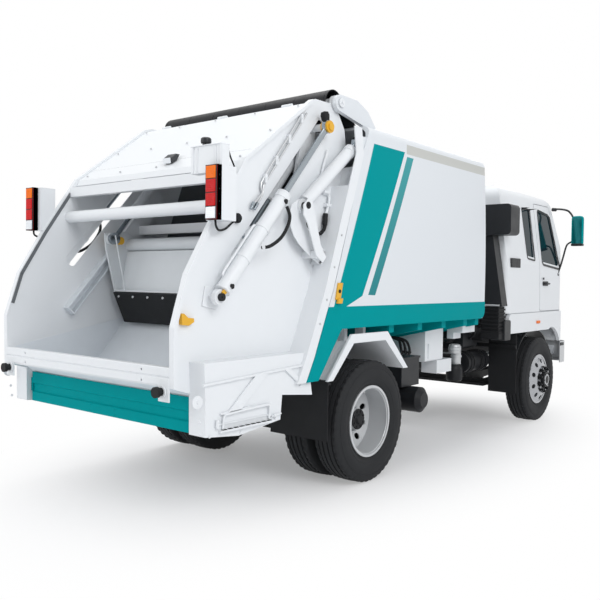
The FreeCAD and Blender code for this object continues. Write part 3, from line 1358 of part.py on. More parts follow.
def build_hopper():
    """Hopper floor: an arc round the low pivot, a ramp beside the rails, and a lip."""
    down = carriage_down()
    radius = S.floor_radius
    wall = S.floor_wall
    low = down[1] - radius
    reach = S.tail_reach - S.sill_deep - S.fit_gap + down[0]
    inner_end = down[1] - leg(radius, reach)
    outer_end = down[1] - leg(radius + wall, reach)
    ramp_top = low + (-S.ramp_end - down[0]) * (sine(S.rail_slope) / cosine(S.rail_slope))
    lip = (seam_at(ramp_top, S.seam_gap)[0], ramp_top)
    under = wall / sine(S.rail_slope)
    outline = [
        (down[0] - reach, inner_end), (down[0], low, radius), (-S.ramp_end, ramp_top), lip,
        (lip[0], ramp_top - wall), (-S.ramp_end + under, ramp_top - wall),
        (down[0] + under, low - wall / 4), (down[0], low - wall),
        (down[0] - reach, outer_end, -radius - wall),
    ]
    half = S.tail_half_width - S.plate_wall - S.fit_gap
    floor = side_plate("hopper_sheet", [outline], -half, half)
    ribs = []
    for index, share in enumerate(RIB_SHARES):
        rib = [
            (down[0], low - wall), (-S.ramp_end + under, ramp_top - wall),
            (-S.ramp_end + under * 6, ramp_top - wall * 6), (down[0] + under * 6, low - wall),
        ]
        ribs.append(side_plate(f"hopper_rib_{index}", [rib], half * share, half * share + wall))
    node("hopper_floor", fused("hopper_floor", [floor] + ribs))


def build_cover():
    """Sheet over the tailgate, from the hinge tube down to the hatch beam."""
    line = tail_points(COVER_SHARES)
    half = S.tail_half_width - S.plate_wall - S.fit_gap
    outline = strip(line, -S.cover_wall)
    sheet = side_plate("cover_sheet", [outline], -half, half)
    seam_bar = tail_points(HEM_SHARES)
    hem = side_plate("cover_hem", [strip(seam_bar, S.cover_wall * 2)], -half, half)
    node("tailgate_cover", fused("tailgate_cover", [sheet, hem]))


PLATE_HOLE_SHARES = ((-0.16, 0.0626), (0.16, 0.0626), (-0.16, 0.2502), (0.16, 0.2502))


def build_rear_bumper():
    """Panel below the sill with end plates and the bolt holes for a number plate."""
    back = -S.lower_panel_back
    half = S.lower_panel_half
    low = S.lower_panel_low
    top = S.lower_panel_top
    rise = top - low
    wall = S.panel_wall
    face = [
        (back, low), (back, low + rise * 0.3), (back + wall * 2, low + rise * 0.34),
        (back + wall * 2, low + rise * 0.58), (back, low + rise * 0.62), (back, top),
    ]
    sheet = side_plate("panel_sheet", [strip(face, -wall)], -half, half)
    pieces = [sheet]
    for index, side in enumerate((-half, half - wall)):
        sizes = (S.sill_deep, wall, rise * 0.8)
        pieces.append(box(f"panel_end_{index}", sizes, (back, side, low)))
    pieces.append(box("panel_hem", (S.sill_deep, half * 2, wall), (back, -half, low)))
    holes = []
    for index, (side, height) in enumerate(PLATE_HOLE_SHARES):
        spot = (back - S.overrun, half * side, low + rise * height)
        holes.append(rod(f"plate_hole_{index}", wall * 0.67, S.overrun * 3, spot, "X"))
    reach = S.tail_half_width - S.plate_wall - half - S.fit_gap
    for index, start in enumerate((-half - reach, half)):
        sizes = (S.sill_deep, reach, rise * 0.45)
        pieces.append(box(f"panel_ear_{index}", sizes, (back + wall, start, low + rise / 3)))
    node("rear_bumper", cut("rear_bumper", fused("panel_set", pieces), holes))


def build_rear_lamps():
    """Upright lamp blocks behind the side plates, and the round buffers at the sill."""
    sizes = (S.lamp_depth, S.lamp_width, S.lamp_height)
    lamp = box("lamp_block", sizes, (-S.lamp_back, S.lamp_y - S.lamp_width / 2, S.lamp_low))
    node("rear_lamps", both_sides("rear_lamps", lamp))
    low = S.sill_top - S.sill_tall
    spot = (-S.tail_reach - S.buffer_length, S.tail_half_width - S.lamp_width * 0.7,
            low - S.sill_tall * 0.2)
    foot = rod("buffer_head", S.sill_deep * 0.7, S.buffer_length * 0.4, spot, "X")
    spot = (-S.tail_reach - S.buffer_length * 0.6, spot[1], spot[2])
    stem = rod("buffer_stem", S.sill_deep * 0.5, S.buffer_length * 0.6 - S.fit_gap, spot, "X")
    node("buffers", both_sides("buffers", fused("buffer_left", [foot, stem])))


# Packer: rails, carriage, blade and cylinders

SHOE_LIFT_SHARE = 0.06


def build_rails():
    """Channel rails on the inside of the side plates, which lead the carriage's shoes."""
    down = carriage_down()
    lift = S.stroke * SHOE_LIFT_SHARE
    low = -S.shoe_length * 0.8
    inner = S.rail_clear / 2
    outer = inner + S.rail_wall
    start = S.tail_half_width - S.plate_wall - S.rail_depth
    end = S.tail_half_width - S.plate_wall - S.fit_gap
    pieces = []
    for index, (near, far) in enumerate(((inner, outer), (-outer, -inner))):
        corners = ((low, lift + near), (low + S.rail_length, lift + near),
                   (low + S.rail_length, lift + far), (low, lift + far))
        pieces.append(side_plate(f"rail_flange_{index}", [rail_points(down, corners)], start, end))
    corners = ((low, lift - outer), (low + S.rail_length, lift - outer),
               (low + S.rail_length, lift + outer), (low, lift + outer))
    pieces.append(side_plate("rail_web", [rail_points(down, corners)], end - S.rail_wall / 2, end))
    stop = ((low, lift - outer), (low + S.rail_wall, lift - outer),
            (low + S.rail_wall, lift + outer), (low, lift + outer))
    pieces.append(side_plate("rail_stop", [rail_points(down, stop)], start, end))
    node("guide_rails", both_sides("guide_rails", fused("guide_rail_left", pieces)))


CARRIAGE_SHARES = ((-0.14, -0.09), (-0.14, 0.09), (0.09, 0.167), (0.636, 0.197), (1.06, 0.424),
                   (1.303, 0.56), (1.492, 0.53), (1.492, 0.4), (1.242, 0.242), (0.97, 0.136),
                   (0.848, -0.023), (0.09, -0.106))


def pivot_place():
    return (-S.pivot_back, S.pivot_z)


def sweep_top():
    """Pin of the sweep cylinders on the carriage."""
    lever = sweep_eye()
    return (lever[0] + S.sweep_length * cosine(S.sweep_slope),
            lever[1] + S.sweep_length * sine(S.sweep_slope))


def sweep_eye():
    """Pin of the sweep cylinders on the blade's lever."""
    pivot = pivot_place()
    return (pivot[0] + S.sweep_lever * cosine(S.sweep_lever_angle),
            pivot[1] + S.sweep_lever * sine(S.sweep_lever_angle))


def build_carriage():
    """Carriage: two side plates on shoes, tied by a beam, with all pivot pins."""
    pivot = pivot_place()
    shoe_start = S.tail_half_width - S.plate_wall - S.rail_depth + S.pin_gap * 4
    shoe_end = S.tail_half_width - S.plate_wall - S.rail_wall / 2 - S.pin_gap * 4
    plate_high = shoe_start - S.move_gap
    plate_low = plate_high - S.carriage_wall
    lift = S.stroke * SHOE_LIFT_SHARE
    outline = rail_points(pivot, [(S.stroke * a, S.stroke * n) for a, n in CARRIAGE_SHARES])
    pieces = [side_plate("carriage_plate", [outline], plate_low, plate_high)]
    half_shoe = S.shoe_length / 2
    thick = S.rail_clear / 2 - S.pin_gap * 2
    for index, centre in enumerate((0, S.shoe_spacing)):
        corners = ((centre - half_shoe, lift - thick), (centre + half_shoe, lift - thick),
                   (centre + half_shoe, lift + thick), (centre - half_shoe, lift + thick))
        shoe = side_plate(f"shoe_{index}", [rail_points(pivot, corners)], shoe_start, shoe_end)
        middle = along_rail(pivot, centre, lift)
        stem = rod(f"shoe_stem_{index}", thick * 0.8, shoe_start - plate_low,
                   (middle[0], plate_low, middle[1]), "Y")
        pieces += [shoe, stem]
    arm_low = plate_low - S.move_gap - S.blade_arm_wall - S.move_gap
    pieces.append(rod("blade_pivot_pin", S.blade_pin, plate_high - arm_low,
                      (pivot[0], arm_low, pivot[1]), "Y"))
    top = sweep_top()
    pin_low = S.sweep_y - S.eye_wall / 2 - S.move_gap
    pieces.append(rod("sweep_pin", S.eye_pin, plate_high - pin_low, (top[0], pin_low, top[1]),
                      "Y"))
    eye = (-S.pack_eye_back, S.pack_eye_z)
    pieces.append(rod("packing_pin", S.eye_pin * 1.4, S.pack_y - S.pack_rod - S.fit_gap
                      - plate_low, (eye[0], plate_low, eye[1]), "Y"))
    left = fused("carriage_left", pieces)
    beam = S.beam_depth
    centre = (pivot[0] + beam * 2, pivot[1] + beam * 1.75)
    inner = plate_low + S.overrun
    bar = box("carriage_beam", (beam, inner * 2, beam),
              (centre[0] - beam / 2, -inner, centre[1] - beam / 2))
    upper = along_rail(pivot, S.stroke * 1.3, S.stroke * 0.44)
    tube = rod("carriage_tube", S.beam_depth / 2, inner * 2, (upper[0], -inner, upper[1]), "Y")
    node("packer_carriage", fused("packer_carriage", [left, mirrored("carriage_right", left),
                                                      bar, tube]))


BLADE_SHARES = ((0.087, 0.101), (-0.072, 0.173), (-0.39, 0.13), (-0.376, -0.043),
                (-0.231, -0.592), (-0.084, -0.59), (0.052, -0.091))
FACE_SHARES = ((0.052, -0.091), (-0.05, -0.084), (-0.135, -0.575), (-0.232, -0.575),
               (-0.232, -0.598), (-0.108, -0.867), (-0.04, -0.867), (-0.084, -0.59))
RUBBER_SHARES = ((-0.2325, -0.5985), (-0.0486, -0.9974), (-0.0921, -0.9909), (-0.265, -0.6145))


def blade_points(shares):
    pivot = pivot_place()
    return [(pivot[0] + S.blade_radius * x, pivot[1] + S.blade_radius * z) for x, z in shares]


def build_blade():
    """Hinged packer blade: a set-back face and a tube between two arms, and a rubber strip."""
    plate_low = (S.tail_half_width - S.plate_wall - S.rail_depth + S.pin_gap * 4 - S.move_gap
                 - S.carriage_wall)
    arm_high = plate_low - S.move_gap
    arm_low = arm_high - S.blade_arm_wall
    pivot = pivot_place()
    wall = S.plate_wall
    face = side_plate("blade_face", [blade_points(FACE_SHARES)], -arm_high, arm_high)
    tube = rod("blade_tube", S.blade_pin + wall, arm_low * 2, (pivot[0], -arm_low, pivot[1]),
               "Y")
    arm = side_plate("blade_arm", [blade_points(BLADE_SHARES)], arm_low, arm_high)
    ring = rod("blade_ring", S.blade_pin + wall * 2, S.blade_arm_wall,
               (pivot[0], arm_low, pivot[1]), "Y")
    lever = sweep_eye()
    start = S.sweep_y + S.sweep_rod + S.pin_gap * 1.6
    boss = rod("lever_boss", S.eye_radius, arm_high - start, (lever[0], start, lever[1]), "Y")
    side = fused("blade_side", [arm, ring, boss])
    bore = rod("blade_bore", S.blade_pin + S.pin_gap, S.blade_arm_wall * 3,
               (pivot[0], arm_low - S.blade_arm_wall, pivot[1]), "Y")
    solid = fused("blade_solid", [face, tube, side, mirrored("blade_side_right", side)])
    node("sweep_blade", cut("sweep_blade", solid, [bore, mirrored("blade_bore_right", bore)]))
    edge = arm_high - S.overrun
    node("blade_rubber", side_plate("blade_rubber", [blade_points(RUBBER_SHARES)], -edge, edge))


def cylinder_barrel(label, start, end, side, radius, bore, length, mouth):
    """A barrel from its pin place towards the rod's eye, hollow for the rod."""
    whole = distance(end[0] - start[0], end[1] - start[1])
    share = length / whole
    stop = (start[0] + (end[0] - start[0]) * share, start[1] + (end[1] - start[1]) * share)
    share = S.eye_radius / whole
    first = (start[0] + (end[0] - start[0]) * share, start[1] + (end[1] - start[1]) * share)
    tube = slanted_rod(f"{label}_tube", radius, first, stop, side)
    share = (length - mouth) / whole
    neck = (start[0] + (end[0] - start[0]) * share, start[1] + (end[1] - start[1]) * share)
    ring = slanted_rod(f"{label}_ring", radius + S.rim_wall / 2, neck, stop, side)
    eye = rod(f"{label}_eye", S.eye_radius, S.eye_wall, (start[0], side - S.eye_wall / 2,
                                                         start[1]), "Y")
    body = fused(f"{label}_body", [tube, ring, eye])
    share = S.eye_radius * 1.6 / whole
    base = (start[0] + (end[0] - start[0]) * share, start[1] + (end[1] - start[1]) * share)
    beyond = (start[0] + (end[0] - start[0]) * 1.2, start[1] + (end[1] - start[1]) * 1.2)
    hole = slanted_rod(f"{label}_hole", bore, base, beyond, side)
    pin = rod(f"{label}_pin_hole", S.eye_pin + S.pin_gap, S.eye_wall * 2,
              (start[0], side - S.eye_wall, start[1]), "Y")
    return cut(label, body, [hole, pin])


def cylinder_rod(label, start, end, side, radius, inside):
    """A rod with its eye at the end place, reaching back to a length from the barrel's pin."""
    whole = distance(end[0] - start[0], end[1] - start[1])
    share = inside / whole
    first = (start[0] + (end[0] - start[0]) * share, start[1] + (end[1] - start[1]) * share)
    bar = slanted_rod(f"{label}_bar", radius, first, end, side)
    eye = rod(f"{label}_eye", S.eye_radius, S.eye_wall, (end[0], side - S.eye_wall / 2, end[1]),
              "Y")
    return fused(label, [bar, eye])


def pack_low():
    """Low pin of the packing cylinders, on the tailgate."""
    return (-S.pack_eye_back - S.pack_length * cosine(S.rail_slope),
            S.pack_eye_z - S.pack_length * sine(S.rail_slope))


def build_cylinders():
    """Packing, sweep and lift cylinders, one on each side."""
    low = pack_low()
    eye = (-S.pack_eye_back, S.pack_eye_z)
    barrel = cylinder_barrel("packing_barrel", low, eye, S.pack_y, S.pack_barrel,
                             S.pack_rod + S.pin_gap, S.pack_barrel_length, S.eye_radius)
    bracket = rod("packing_foot", S.eye_pin, S.pack_y + S.eye_wall - S.tail_half_width,
                  (low[0], S.tail_half_width + S.fit_gap, low[1]), "Y")
    node("packing_barrels", both_sides("packing_barrels",
                                       fused("packing_barrel_set", [barrel, bracket])))
    whole = S.pack_barrel_length - S.eye_radius * 2
    node("packing_rods", both_sides("packing_rods", cylinder_rod(
        "packing_rod", low, eye, S.pack_y, S.pack_rod, whole)))

    top = sweep_top()
    lever = sweep_eye()
    node("sweep_barrels", both_sides("sweep_barrels", cylinder_barrel(
        "sweep_barrel_left", top, lever, S.sweep_y, S.sweep_barrel, S.sweep_rod + S.pin_gap,
        S.sweep_barrel_length, S.eye_radius / 2)))
    node("sweep_rods", both_sides("sweep_rods", cylinder_rod(
        "sweep_rod_left", top, lever, S.sweep_y, S.sweep_rod,
        S.sweep_barrel_length - S.eye_radius * 2)))

    base = (-S.lift_low_back, S.lift_low_z)
    eye = (-S.lift_eye_back, S.lift_eye_z)
    node("lift_barrels", both_sides("lift_barrels", cylinder_barrel(
        "lift_barrel_left", base, eye, S.lift_y, S.lift_barrel, S.lift_rod + S.pin_gap,
        S.lift_barrel_length, S.eye_radius)))
    node("lift_rods", both_sides("lift_rods", cylinder_rod(
        "lift_rod_left", base, eye, S.lift_y, S.lift_rod,
        S.lift_barrel_length - S.eye_radius * 2)))


# Cab


def cab_point(along, up):
    """A place on the cab's side view, in shares of its length and of its height."""
    return (S.cab_rear + S.cab_length * along, S.cab_sill + S.cab_height * up)


CAB_SHARES = {
    "back": (0, 0.891), "crown": (0.0825, 1), "brow": (0.747, 0.9626),
    "screen": (0.8196, 0.9048), "waist": (0.9742, 0.3878), "grille": (1, 0.0136),
    "chin": (0.995, -0.218), "quarter_low": (0.32, 0.456), "quarter_top": (0.44, 0.85),
    "window_low_rear": (0.56, 0.416), "window_low_front": (0.868, 0.385),
    "window_top_front": (0.774, 0.83), "window_top_rear": (0.567, 0.86),
    "mirror_up": (0.762, 0.88), "mirror_low": (0.835, 0.317), "mirror_head": (0.925, 0.57),
}


def cab_spot(name):
    return cab_point(*CAB_SHARES[name])


def cab_side(inset, floor, foot):
    """Side view of the cab: upright rear wall, sloping roof, raked screen and low nose."""
    back = cab_spot("back")
    crown = cab_spot("crown")
    brow = cab_spot("brow")
    screen = cab_spot("screen")
    waist = cab_spot("waist")
    grille = cab_spot("grille")
    chin = cab_spot("chin")
    step = cab_point(0.876, 0)[0] + inset
    lip = S.tilt_x + S.overrun - inset
    edge = S.cab_edge - inset
    return [
        (S.cab_rear + inset, floor), (step, floor), (step, foot), (lip, foot),
        (chin[0] - inset, chin[1]), (grille[0] - inset, grille[1]),
        (waist[0] - inset, waist[1]), (screen[0] - inset, screen[1] - inset * 0.4),
        (brow[0] - inset * 0.4, brow[1] - inset, S.cab_edge - inset * 0.4),
        (crown[0], crown[1] - inset), (back[0] + inset, back[1], edge),
    ]


def cab_front(inset, low):
    """Front view of the cab: sides leaning in above the waist, rounded roof edges."""
    half = S.cab_half_width - inset
    sill = cab_point(0, 0.1156)[1]
    waist = cab_point(0, 0.3878)[1]
    edge = cab_point(0, 0.891)[1]
    roof = cab_point(0, 0.993)[1] - inset
    lean = S.cab_lean
    return [
        (-half, low), (half, low), (half, sill), (half - lean * 0.09, waist),
        (half - lean, edge), (half - lean - S.cab_edge * 0.88, roof, S.cab_edge),
        (-half + lean + S.cab_edge * 0.88, roof, S.body_bulge),
        (-half + lean, edge, S.cab_edge), (-half + lean * 0.09, waist), (-half, sill),
    ]


def cab_plan(inset):
    """Plan view of the cab: tight rear corners and generous front ones."""
    half = S.cab_half_width - inset
    front = S.cab_rear + S.cab_length + S.move_gap
    rear = S.cab_rear
    small = S.body_edge * 0.67
    big = S.cab_corner
    outer = S.cab_half_width
    return [
        (rear + inset, -outer + small), (rear + small, -half, small - inset),
        (front - big, -half), (front - inset, -outer + big, big - inset),
        (front - inset, outer - big), (front - big, half, big - inset),
        (rear + small, half), (rear + inset, outer - small, small - inset),
    ]


def cab_block(label, inset, floor, foot):
    """The cab's bulk, moved in by an inset: what its three views have in common."""
    half = S.cab_half_width + S.overrun
    rear = S.cab_rear - S.overrun
    length = S.cab_length + S.cab_corner
    low = foot - S.overrun
    height = S.cab_height + S.cab_sill - low + S.overrun
    views = [
        side_plate(f"{label}_side", [cab_side(inset, floor, foot)], -half, half),
        slab(f"{label}_front", "YZ_Plane", [cab_front(inset, low)], length, (rear, 0, 0)),
        slab(f"{label}_plan", "XY_Plane", [cab_plan(inset)], height, (0, 0, low)),
    ]
    return common(label, views)


def door_outline(gap):
    """Side view of the left door, grown by a gap for its opening."""
    low = S.cab_sill + S.door_gap - gap
    rear = S.door_rear - gap * 1.9
    front = S.door_hinge - S.move_gap + gap
    top = S.door_top + gap
    knee = cab_point(0, 0.374)[1]
    brow = cab_point(0.777, 0)[0] + gap
    corners = [(rear, low), (front, low), (front, knee), (brow, top), (rear, top)]
    return softened(corners, S.soft_corner)


def door_prism(label, gap):
    """Bulk of the left door or its opening: full height in the wall, above the floor inside."""
    outer = S.cab_half_width + S.mirror_stand / 2
    wall = S.cab_half_width - S.cab_wall
    inner = S.cab_half_width * 0.75
    skin = side_plate(f"{label}_skin", [door_outline(gap)], wall, outer)
    deep = side_plate(f"{label}_deep", [door_outline(gap)], inner, wall)
    floor = S.cab_sill + S.cab_base
    room = box(f"{label}_room", (S.cab_length, outer, S.cab_height), (S.cab_rear, inner, floor))
    return fused(label, [skin, common(f"{label}_upper", [deep, room])])


def pane(label, gap):
    """Outlines of the cab's windows, moved in by a gap: screen, quarter lights and rear."""
    half = S.cab_half_width
    screen_low = cab_point(0, 0.43)[1] + gap
    screen_top = cab_point(0, 0.864)[1] - gap
    screen = [(-half * 0.87 + gap, screen_low), (half * 0.87 - gap, screen_low),
              (half * 0.78 - gap, screen_top), (-half * 0.78 + gap, screen_top)]
    front = slab(f"{label}_screen", "YZ_Plane", [softened(screen, S.soft_corner)],
                 S.cab_corner * 2, (cab_point(0.758, 0)[0], 0, 0))
    low = cab_spot("quarter_low")
    top = cab_spot("quarter_top")
    light = [(low[0] + gap, low[1] + gap), (top[0] - gap, low[1] - S.overrun + gap),
             (top[0] - gap, top[1] - gap), (low[0] - S.overrun + gap, top[1] - gap)]
    quarter = side_plate(f"{label}_quarter", [softened(light, S.soft_corner / 2)],
                         half * 0.75, half + S.overrun)
    rear_low = cab_point(0, 0.51)[1] + gap
    rear_top = cab_point(0, 0.76)[1] - gap
    back = [(-half * 0.45 + gap, rear_low), (half * 0.45 - gap, rear_low),
            (half * 0.45 - gap, rear_top), (-half * 0.45 + gap, rear_top)]
    rear = slab(f"{label}_rear", "YZ_Plane", [softened(back, S.soft_corner)],
                S.cab_corner, (S.cab_rear - S.overrun, 0, 0))
    return [front, quarter, mirrored(f"{label}_quarter_right", quarter), rear]


def door_window(label, gap):
    low_rear = cab_spot("window_low_rear")
    low_front = cab_spot("window_low_front")
    top_front = cab_spot("window_top_front")
    top_rear = cab_spot("window_top_rear")
    corners = [(low_rear[0] + gap, low_rear[1] + gap), (low_front[0] - gap, low_front[1] + gap),
               (top_front[0] - gap, top_front[1] - gap), (top_rear[0] + gap, top_rear[1] - gap)]
    return side_plate(label, [softened(corners, S.soft_corner)], S.cab_half_width * 0.75,
                      S.cab_half_width + S.overrun * 3)


def fender():
    """Left wing below the cab: a rounded panel with the wheel arch, and a shelf inside it."""
    low = S.fender_low
    top = S.cab_sill - S.door_gap
    rear = S.cab_rear + S.cab_wall
    front = cab_point(0.876, 0)[0]
    corner = S.soft_corner * 1.6
    foot = S.cab_sill - S.nose_drop
    outline = [
        (rear, low), (cab_point(0.66, 0)[0], low), (front - S.overrun, foot, -S.cab_corner),
        (front + S.overrun, foot), (front + S.overrun, top), (rear + corner, top),
        (rear, top - corner, corner),
    ]
    outer = S.cab_half_width + S.overrun / 2
    panel = side_plate("fender_panel", [outline], outer - S.fender_wall, outer)
    shelf = box("fender_shelf", (front - rear, S.cab_half_width / 3, S.fender_wall),
                (rear, S.cab_half_width * 0.62, S.cab_sill - S.fender_wall))
    web = box("fender_web", (front - rear - corner, S.fender_wall * 2, S.fender_wall),
              (rear + corner, outer - S.fender_wall * 2.6, S.cab_sill - S.fender_wall))
    return [panel, shelf, web]


def tilt_arm():
    """Left arm that carries the cab on the frame's tilt pin."""
    boss = S.tilt_pin * 2
    top = S.cab_sill + S.overrun
    outline = [
        (S.tilt_x - boss * 2, top), (S.tilt_x - boss, S.tilt_z), (S.tilt_x, S.tilt_z - boss, boss),
        (S.tilt_x + S.overrun / 2, S.tilt_z - boss), (S.tilt_x + S.overrun / 2, top),
    ]
    start = S.frame_half_width + S.tow_eye_wall + S.move_gap
    arm = side_plate("tilt_arm", [outline], start, start + S.eye_wall)
    hole = rod("tilt_bore", S.tilt_pin + S.pin_gap, S.eye_wall * 3,
               (S.tilt_x, start - S.eye_wall, S.tilt_z), "Y")
    return cut("tilt_arm_bored", arm, [hole])


def nose_openings(foot):
    """Notch in the nose's rear wall over the frame, and slots round the tilt brackets."""
    low = foot - S.overrun
    reach = S.frame_half_width + S.tow_eye_wall + S.move_gap * 2 + S.eye_wall
    step = cab_point(0.876, 0)[0]
    notch = box("nose_notch", (S.cab_wall + S.overrun * 2, reach * 2,
                               S.tilt_z + S.eye_radius - low),
                (step - S.overrun, -reach, low))
    slot = box("nose_slot", (S.cab_wall * 4, S.tow_eye_wall + S.move_gap * 2,
                             S.tilt_z + S.eye_wall - low),
               (S.tilt_x - S.cab_wall, S.frame_half_width - S.move_gap, low))
    return [notch, slot, mirrored("nose_slot_right", slot)]


def build_cab():
    """Hollow cab shell with window and door openings, wings and tilt arms; doors and glass."""
    foot = S.cab_sill - S.nose_drop
    outer = cab_block("cab_outer", 0, S.cab_sill, foot)
    room = cab_block("cab_room", S.cab_wall, S.cab_sill + S.cab_base, foot - S.overrun)
    shell = cut("cab_hollow", outer, [room])
    opening = door_prism("door_opening", S.door_gap)
    tools = [opening, mirrored("door_opening_right", opening)] + pane("window", 0)
    tools += nose_openings(foot)
    body = cut("cab_open", shell, tools)
    step = cab_point(0.876, 0)[0]
    floor = box("nose_floor", (S.cab_edge, S.cab_half_width * 1.6, S.cab_base),
                (step, -S.cab_half_width * 0.8, S.cab_sill))
    sides = fender() + [tilt_arm()]
    pieces = [body, floor] + sides
    for index, piece in enumerate(sides):
        pieces.append(mirrored(f"cab_side_right_{index}", piece))
    node("cab_shell", fused("cab_shell", pieces))

    prism = door_prism("door_bulk", 0)
    door = cut("door_left", common("door_solid", [shell, prism]), [door_window("door_hole", 0)])
    node("door_left", door)
    node("door_right", mirrored("door_right", door))

    near = cab_block("glass_outer", S.glass_set, S.cab_sill, foot)
    far = cab_block("glass_inner", S.glass_set + S.glass_wall, S.cab_sill - S.overrun,
                    foot - S.overrun)
    skin = cut("glass_skin", near, [far])
    panes = [common(f"pane_{index}", [skin, prism_pane])
             for index, prism_pane in enumerate(pane("glass", S.fit_gap))]
    node("cab_glass", together("cab_glass", panes))
    glass = common("door_glass_left", [skin, door_window("door_glass_prism", S.fit_gap)])
    node("door_glass_left", glass)
    node("door_glass_right", mirrored("door_glass_right", glass))


def seat(label, side):
    """A cab seat: pedestal, cushion and a leaning back with its head rest."""
    floor = S.cab_sill + S.cab_base
    front = cab_point(0.64, 0)[0]
    width = S.cab_half_width * 0.42
    low = side - width / 2
    deep = S.cab_length * 0.26
    rise = S.cab_height * 0.17
    base = box(f"{label}_base", (deep * 0.7, width * 0.8, rise), (front - deep, low + width * 0.1,
                                                                floor))
    cushion = box(f"{label}_cushion", (deep, width, rise * 0.5), (front - deep, low,
                                                                  floor + rise))
    back = [
        (front - deep, floor + rise), (front - deep * 0.78, floor + rise * 1.2),
        (front - deep * 1.05, floor + rise * 3.9), (front - deep * 1.25, floor + rise * 3.8),
    ]
    rest = side_plate(f"{label}_back", [back], low, low + width)
    return fused(label, [base, cushion, rest])


def build_cab_inside():
    """Dashboard with the steering column and wheel, and the two seats."""
    floor = S.cab_sill + S.cab_base
    half = S.cab_half_width * 0.8
    front = cab_point(0.95, 0)[0]
    dash = [
        (front, floor + S.fit_gap), (front, floor + S.cab_height * 0.3),
        (front - S.cab_length * 0.03, floor + S.cab_height * 0.34),
        (front - S.cab_length * 0.13, floor + S.cab_height * 0.33),
        (front - S.cab_length * 0.16, floor + S.cab_height * 0.22),
        (front - S.cab_length * 0.1, floor + S.fit_gap),
    ]
    panel = side_plate("dash_panel", [dash], -half, half)
    side = S.cab_half_width * 0.43
    base = (front - S.cab_length * 0.11, floor + S.cab_height * 0.18)
    top = (front - S.cab_length * 0.205, floor + S.cab_height * 0.34)
    column = slanted_rod("steering_column", S.pipe_radius * 0.8, base, top, side)
    ring = DOCUMENT.addObject("Part::Torus", "steering_ring")
    bind(ring, "Radius1", S.tyre_radius * 0.42)
    bind(ring, "Radius2", S.tie_rod_radius * 0.8)
    slope = slope_between(base, top)
    turn = FreeCAD.Rotation(FreeCAD.Vector(0, 1, 0), slope.value)
    put(ring, (top[0], side, top[1]), turn)
    ring.setExpression("Placement.Rotation.Angle", slope.text)
    spoke = box("steering_spoke", (S.pipe_radius, S.tyre_radius * 0.84, S.pipe_radius * 0.6),
                (top[0] - S.pipe_radius / 2, side - S.tyre_radius * 0.42,
                 top[1] - S.pipe_radius * 0.3))
    node("dashboard", fused("dashboard", [panel, column, ring, spoke]))
    seats = [seat("driver_seat", side), seat("passenger_seat", -side)]
    node("seats", together("seats", seats))


DUCT_SHARES = ((0.27, 0), (0.98, 0), (0.95, 1), (0.606, 1))


def build_air_intake():
    """Air intake on the cab's rear wall: a box at the right corner and its duct."""
    rear = S.cab_rear - S.fit_gap
    depth = S.cab_edge * 1.5
    half = S.cab_half_width
    low = cab_point(0, 0.592)[1]
    rise = S.cab_height * 0.228
    outer = -half - S.cab_corner * 0.42
    width = half * 0.33
    case = rounded_box("intake_case", depth, (outer, outer + width), low, low + rise,
                       rear - depth, S.soft_corner)
    heights = (cab_point(0, 0.06)[1], low + S.overrun)
    duct = [(outer + width * share, heights[end]) for share, end in DUCT_SHARES]
    pipe = slab("intake_duct", "YZ_Plane", [duct], depth * 0.62, (rear - depth * 0.8, 0, 0))
    node("air_intake", fused("air_intake", [case, pipe]))


def build_mirrors():
    """Mirror arms and heads, which ride on the doors."""
    up = cab_spot("mirror_up")
    low = cab_spot("mirror_low")
    head = cab_spot("mirror_head")
    size = S.cab_height * 0.255
    tube = S.tie_rod_radius * 0.6
    reach = S.cab_half_width + S.mirror_stand
    width = S.mirror_width
    half = S.cab_half_width
    rise = head[1] + size
    case = softened([
        (reach - width, head[1]), (reach, head[1]), (reach, rise), (reach - width, rise),
    ], S.overrun)
    pieces = [slab("mirror_case", "YZ_Plane", [case], S.soft_corner, (head[0], 0, 0))]
    middle = reach - width / 2
    post = head[0] + S.soft_corner / 2
    pieces.append(rod("mirror_post", tube, size + S.soft_corner * 3,
                      (post, middle, head[1] - S.soft_corner * 1.5), "Z"))
    top_side = half - S.cab_lean * 0.96
    for name, start, side, height in (
            ("upper", up, top_side, rise + S.soft_corner * 1.5),
            ("lower", low, half - S.overrun * 0.32, head[1] - S.soft_corner * 1.5)):
        root = side + tube
        plan = [
            (start[0] - tube, root), (start[0] + tube, root), (post + tube, middle),
            (post - tube, middle + tube),
        ]
        arm = slab(f"mirror_arm_{name}", "XY_Plane", [plan], tube * 2, (0, 0, height - tube))
        pieces.append(arm)
        drop = start[1] - height
        foot = rod(f"mirror_foot_{name}", tube * 1.4, S.soft_corner, (start[0], side, start[1]),
                   "Y")
        pieces.append(foot)
        if drop.value < 0:
            pieces.append(rod(f"mirror_drop_{name}", tube, height - start[1],
                              (start[0], root + tube * 1.2, start[1]), "Z"))
        else:
            pieces.append(rod(f"mirror_drop_{name}", tube, drop,
                              (start[0], root + tube * 1.2, height), "Z"))
    left = node("mirror_left", fused("mirror_left", pieces))
    node("mirror_right", mirrored("mirror_right", left))


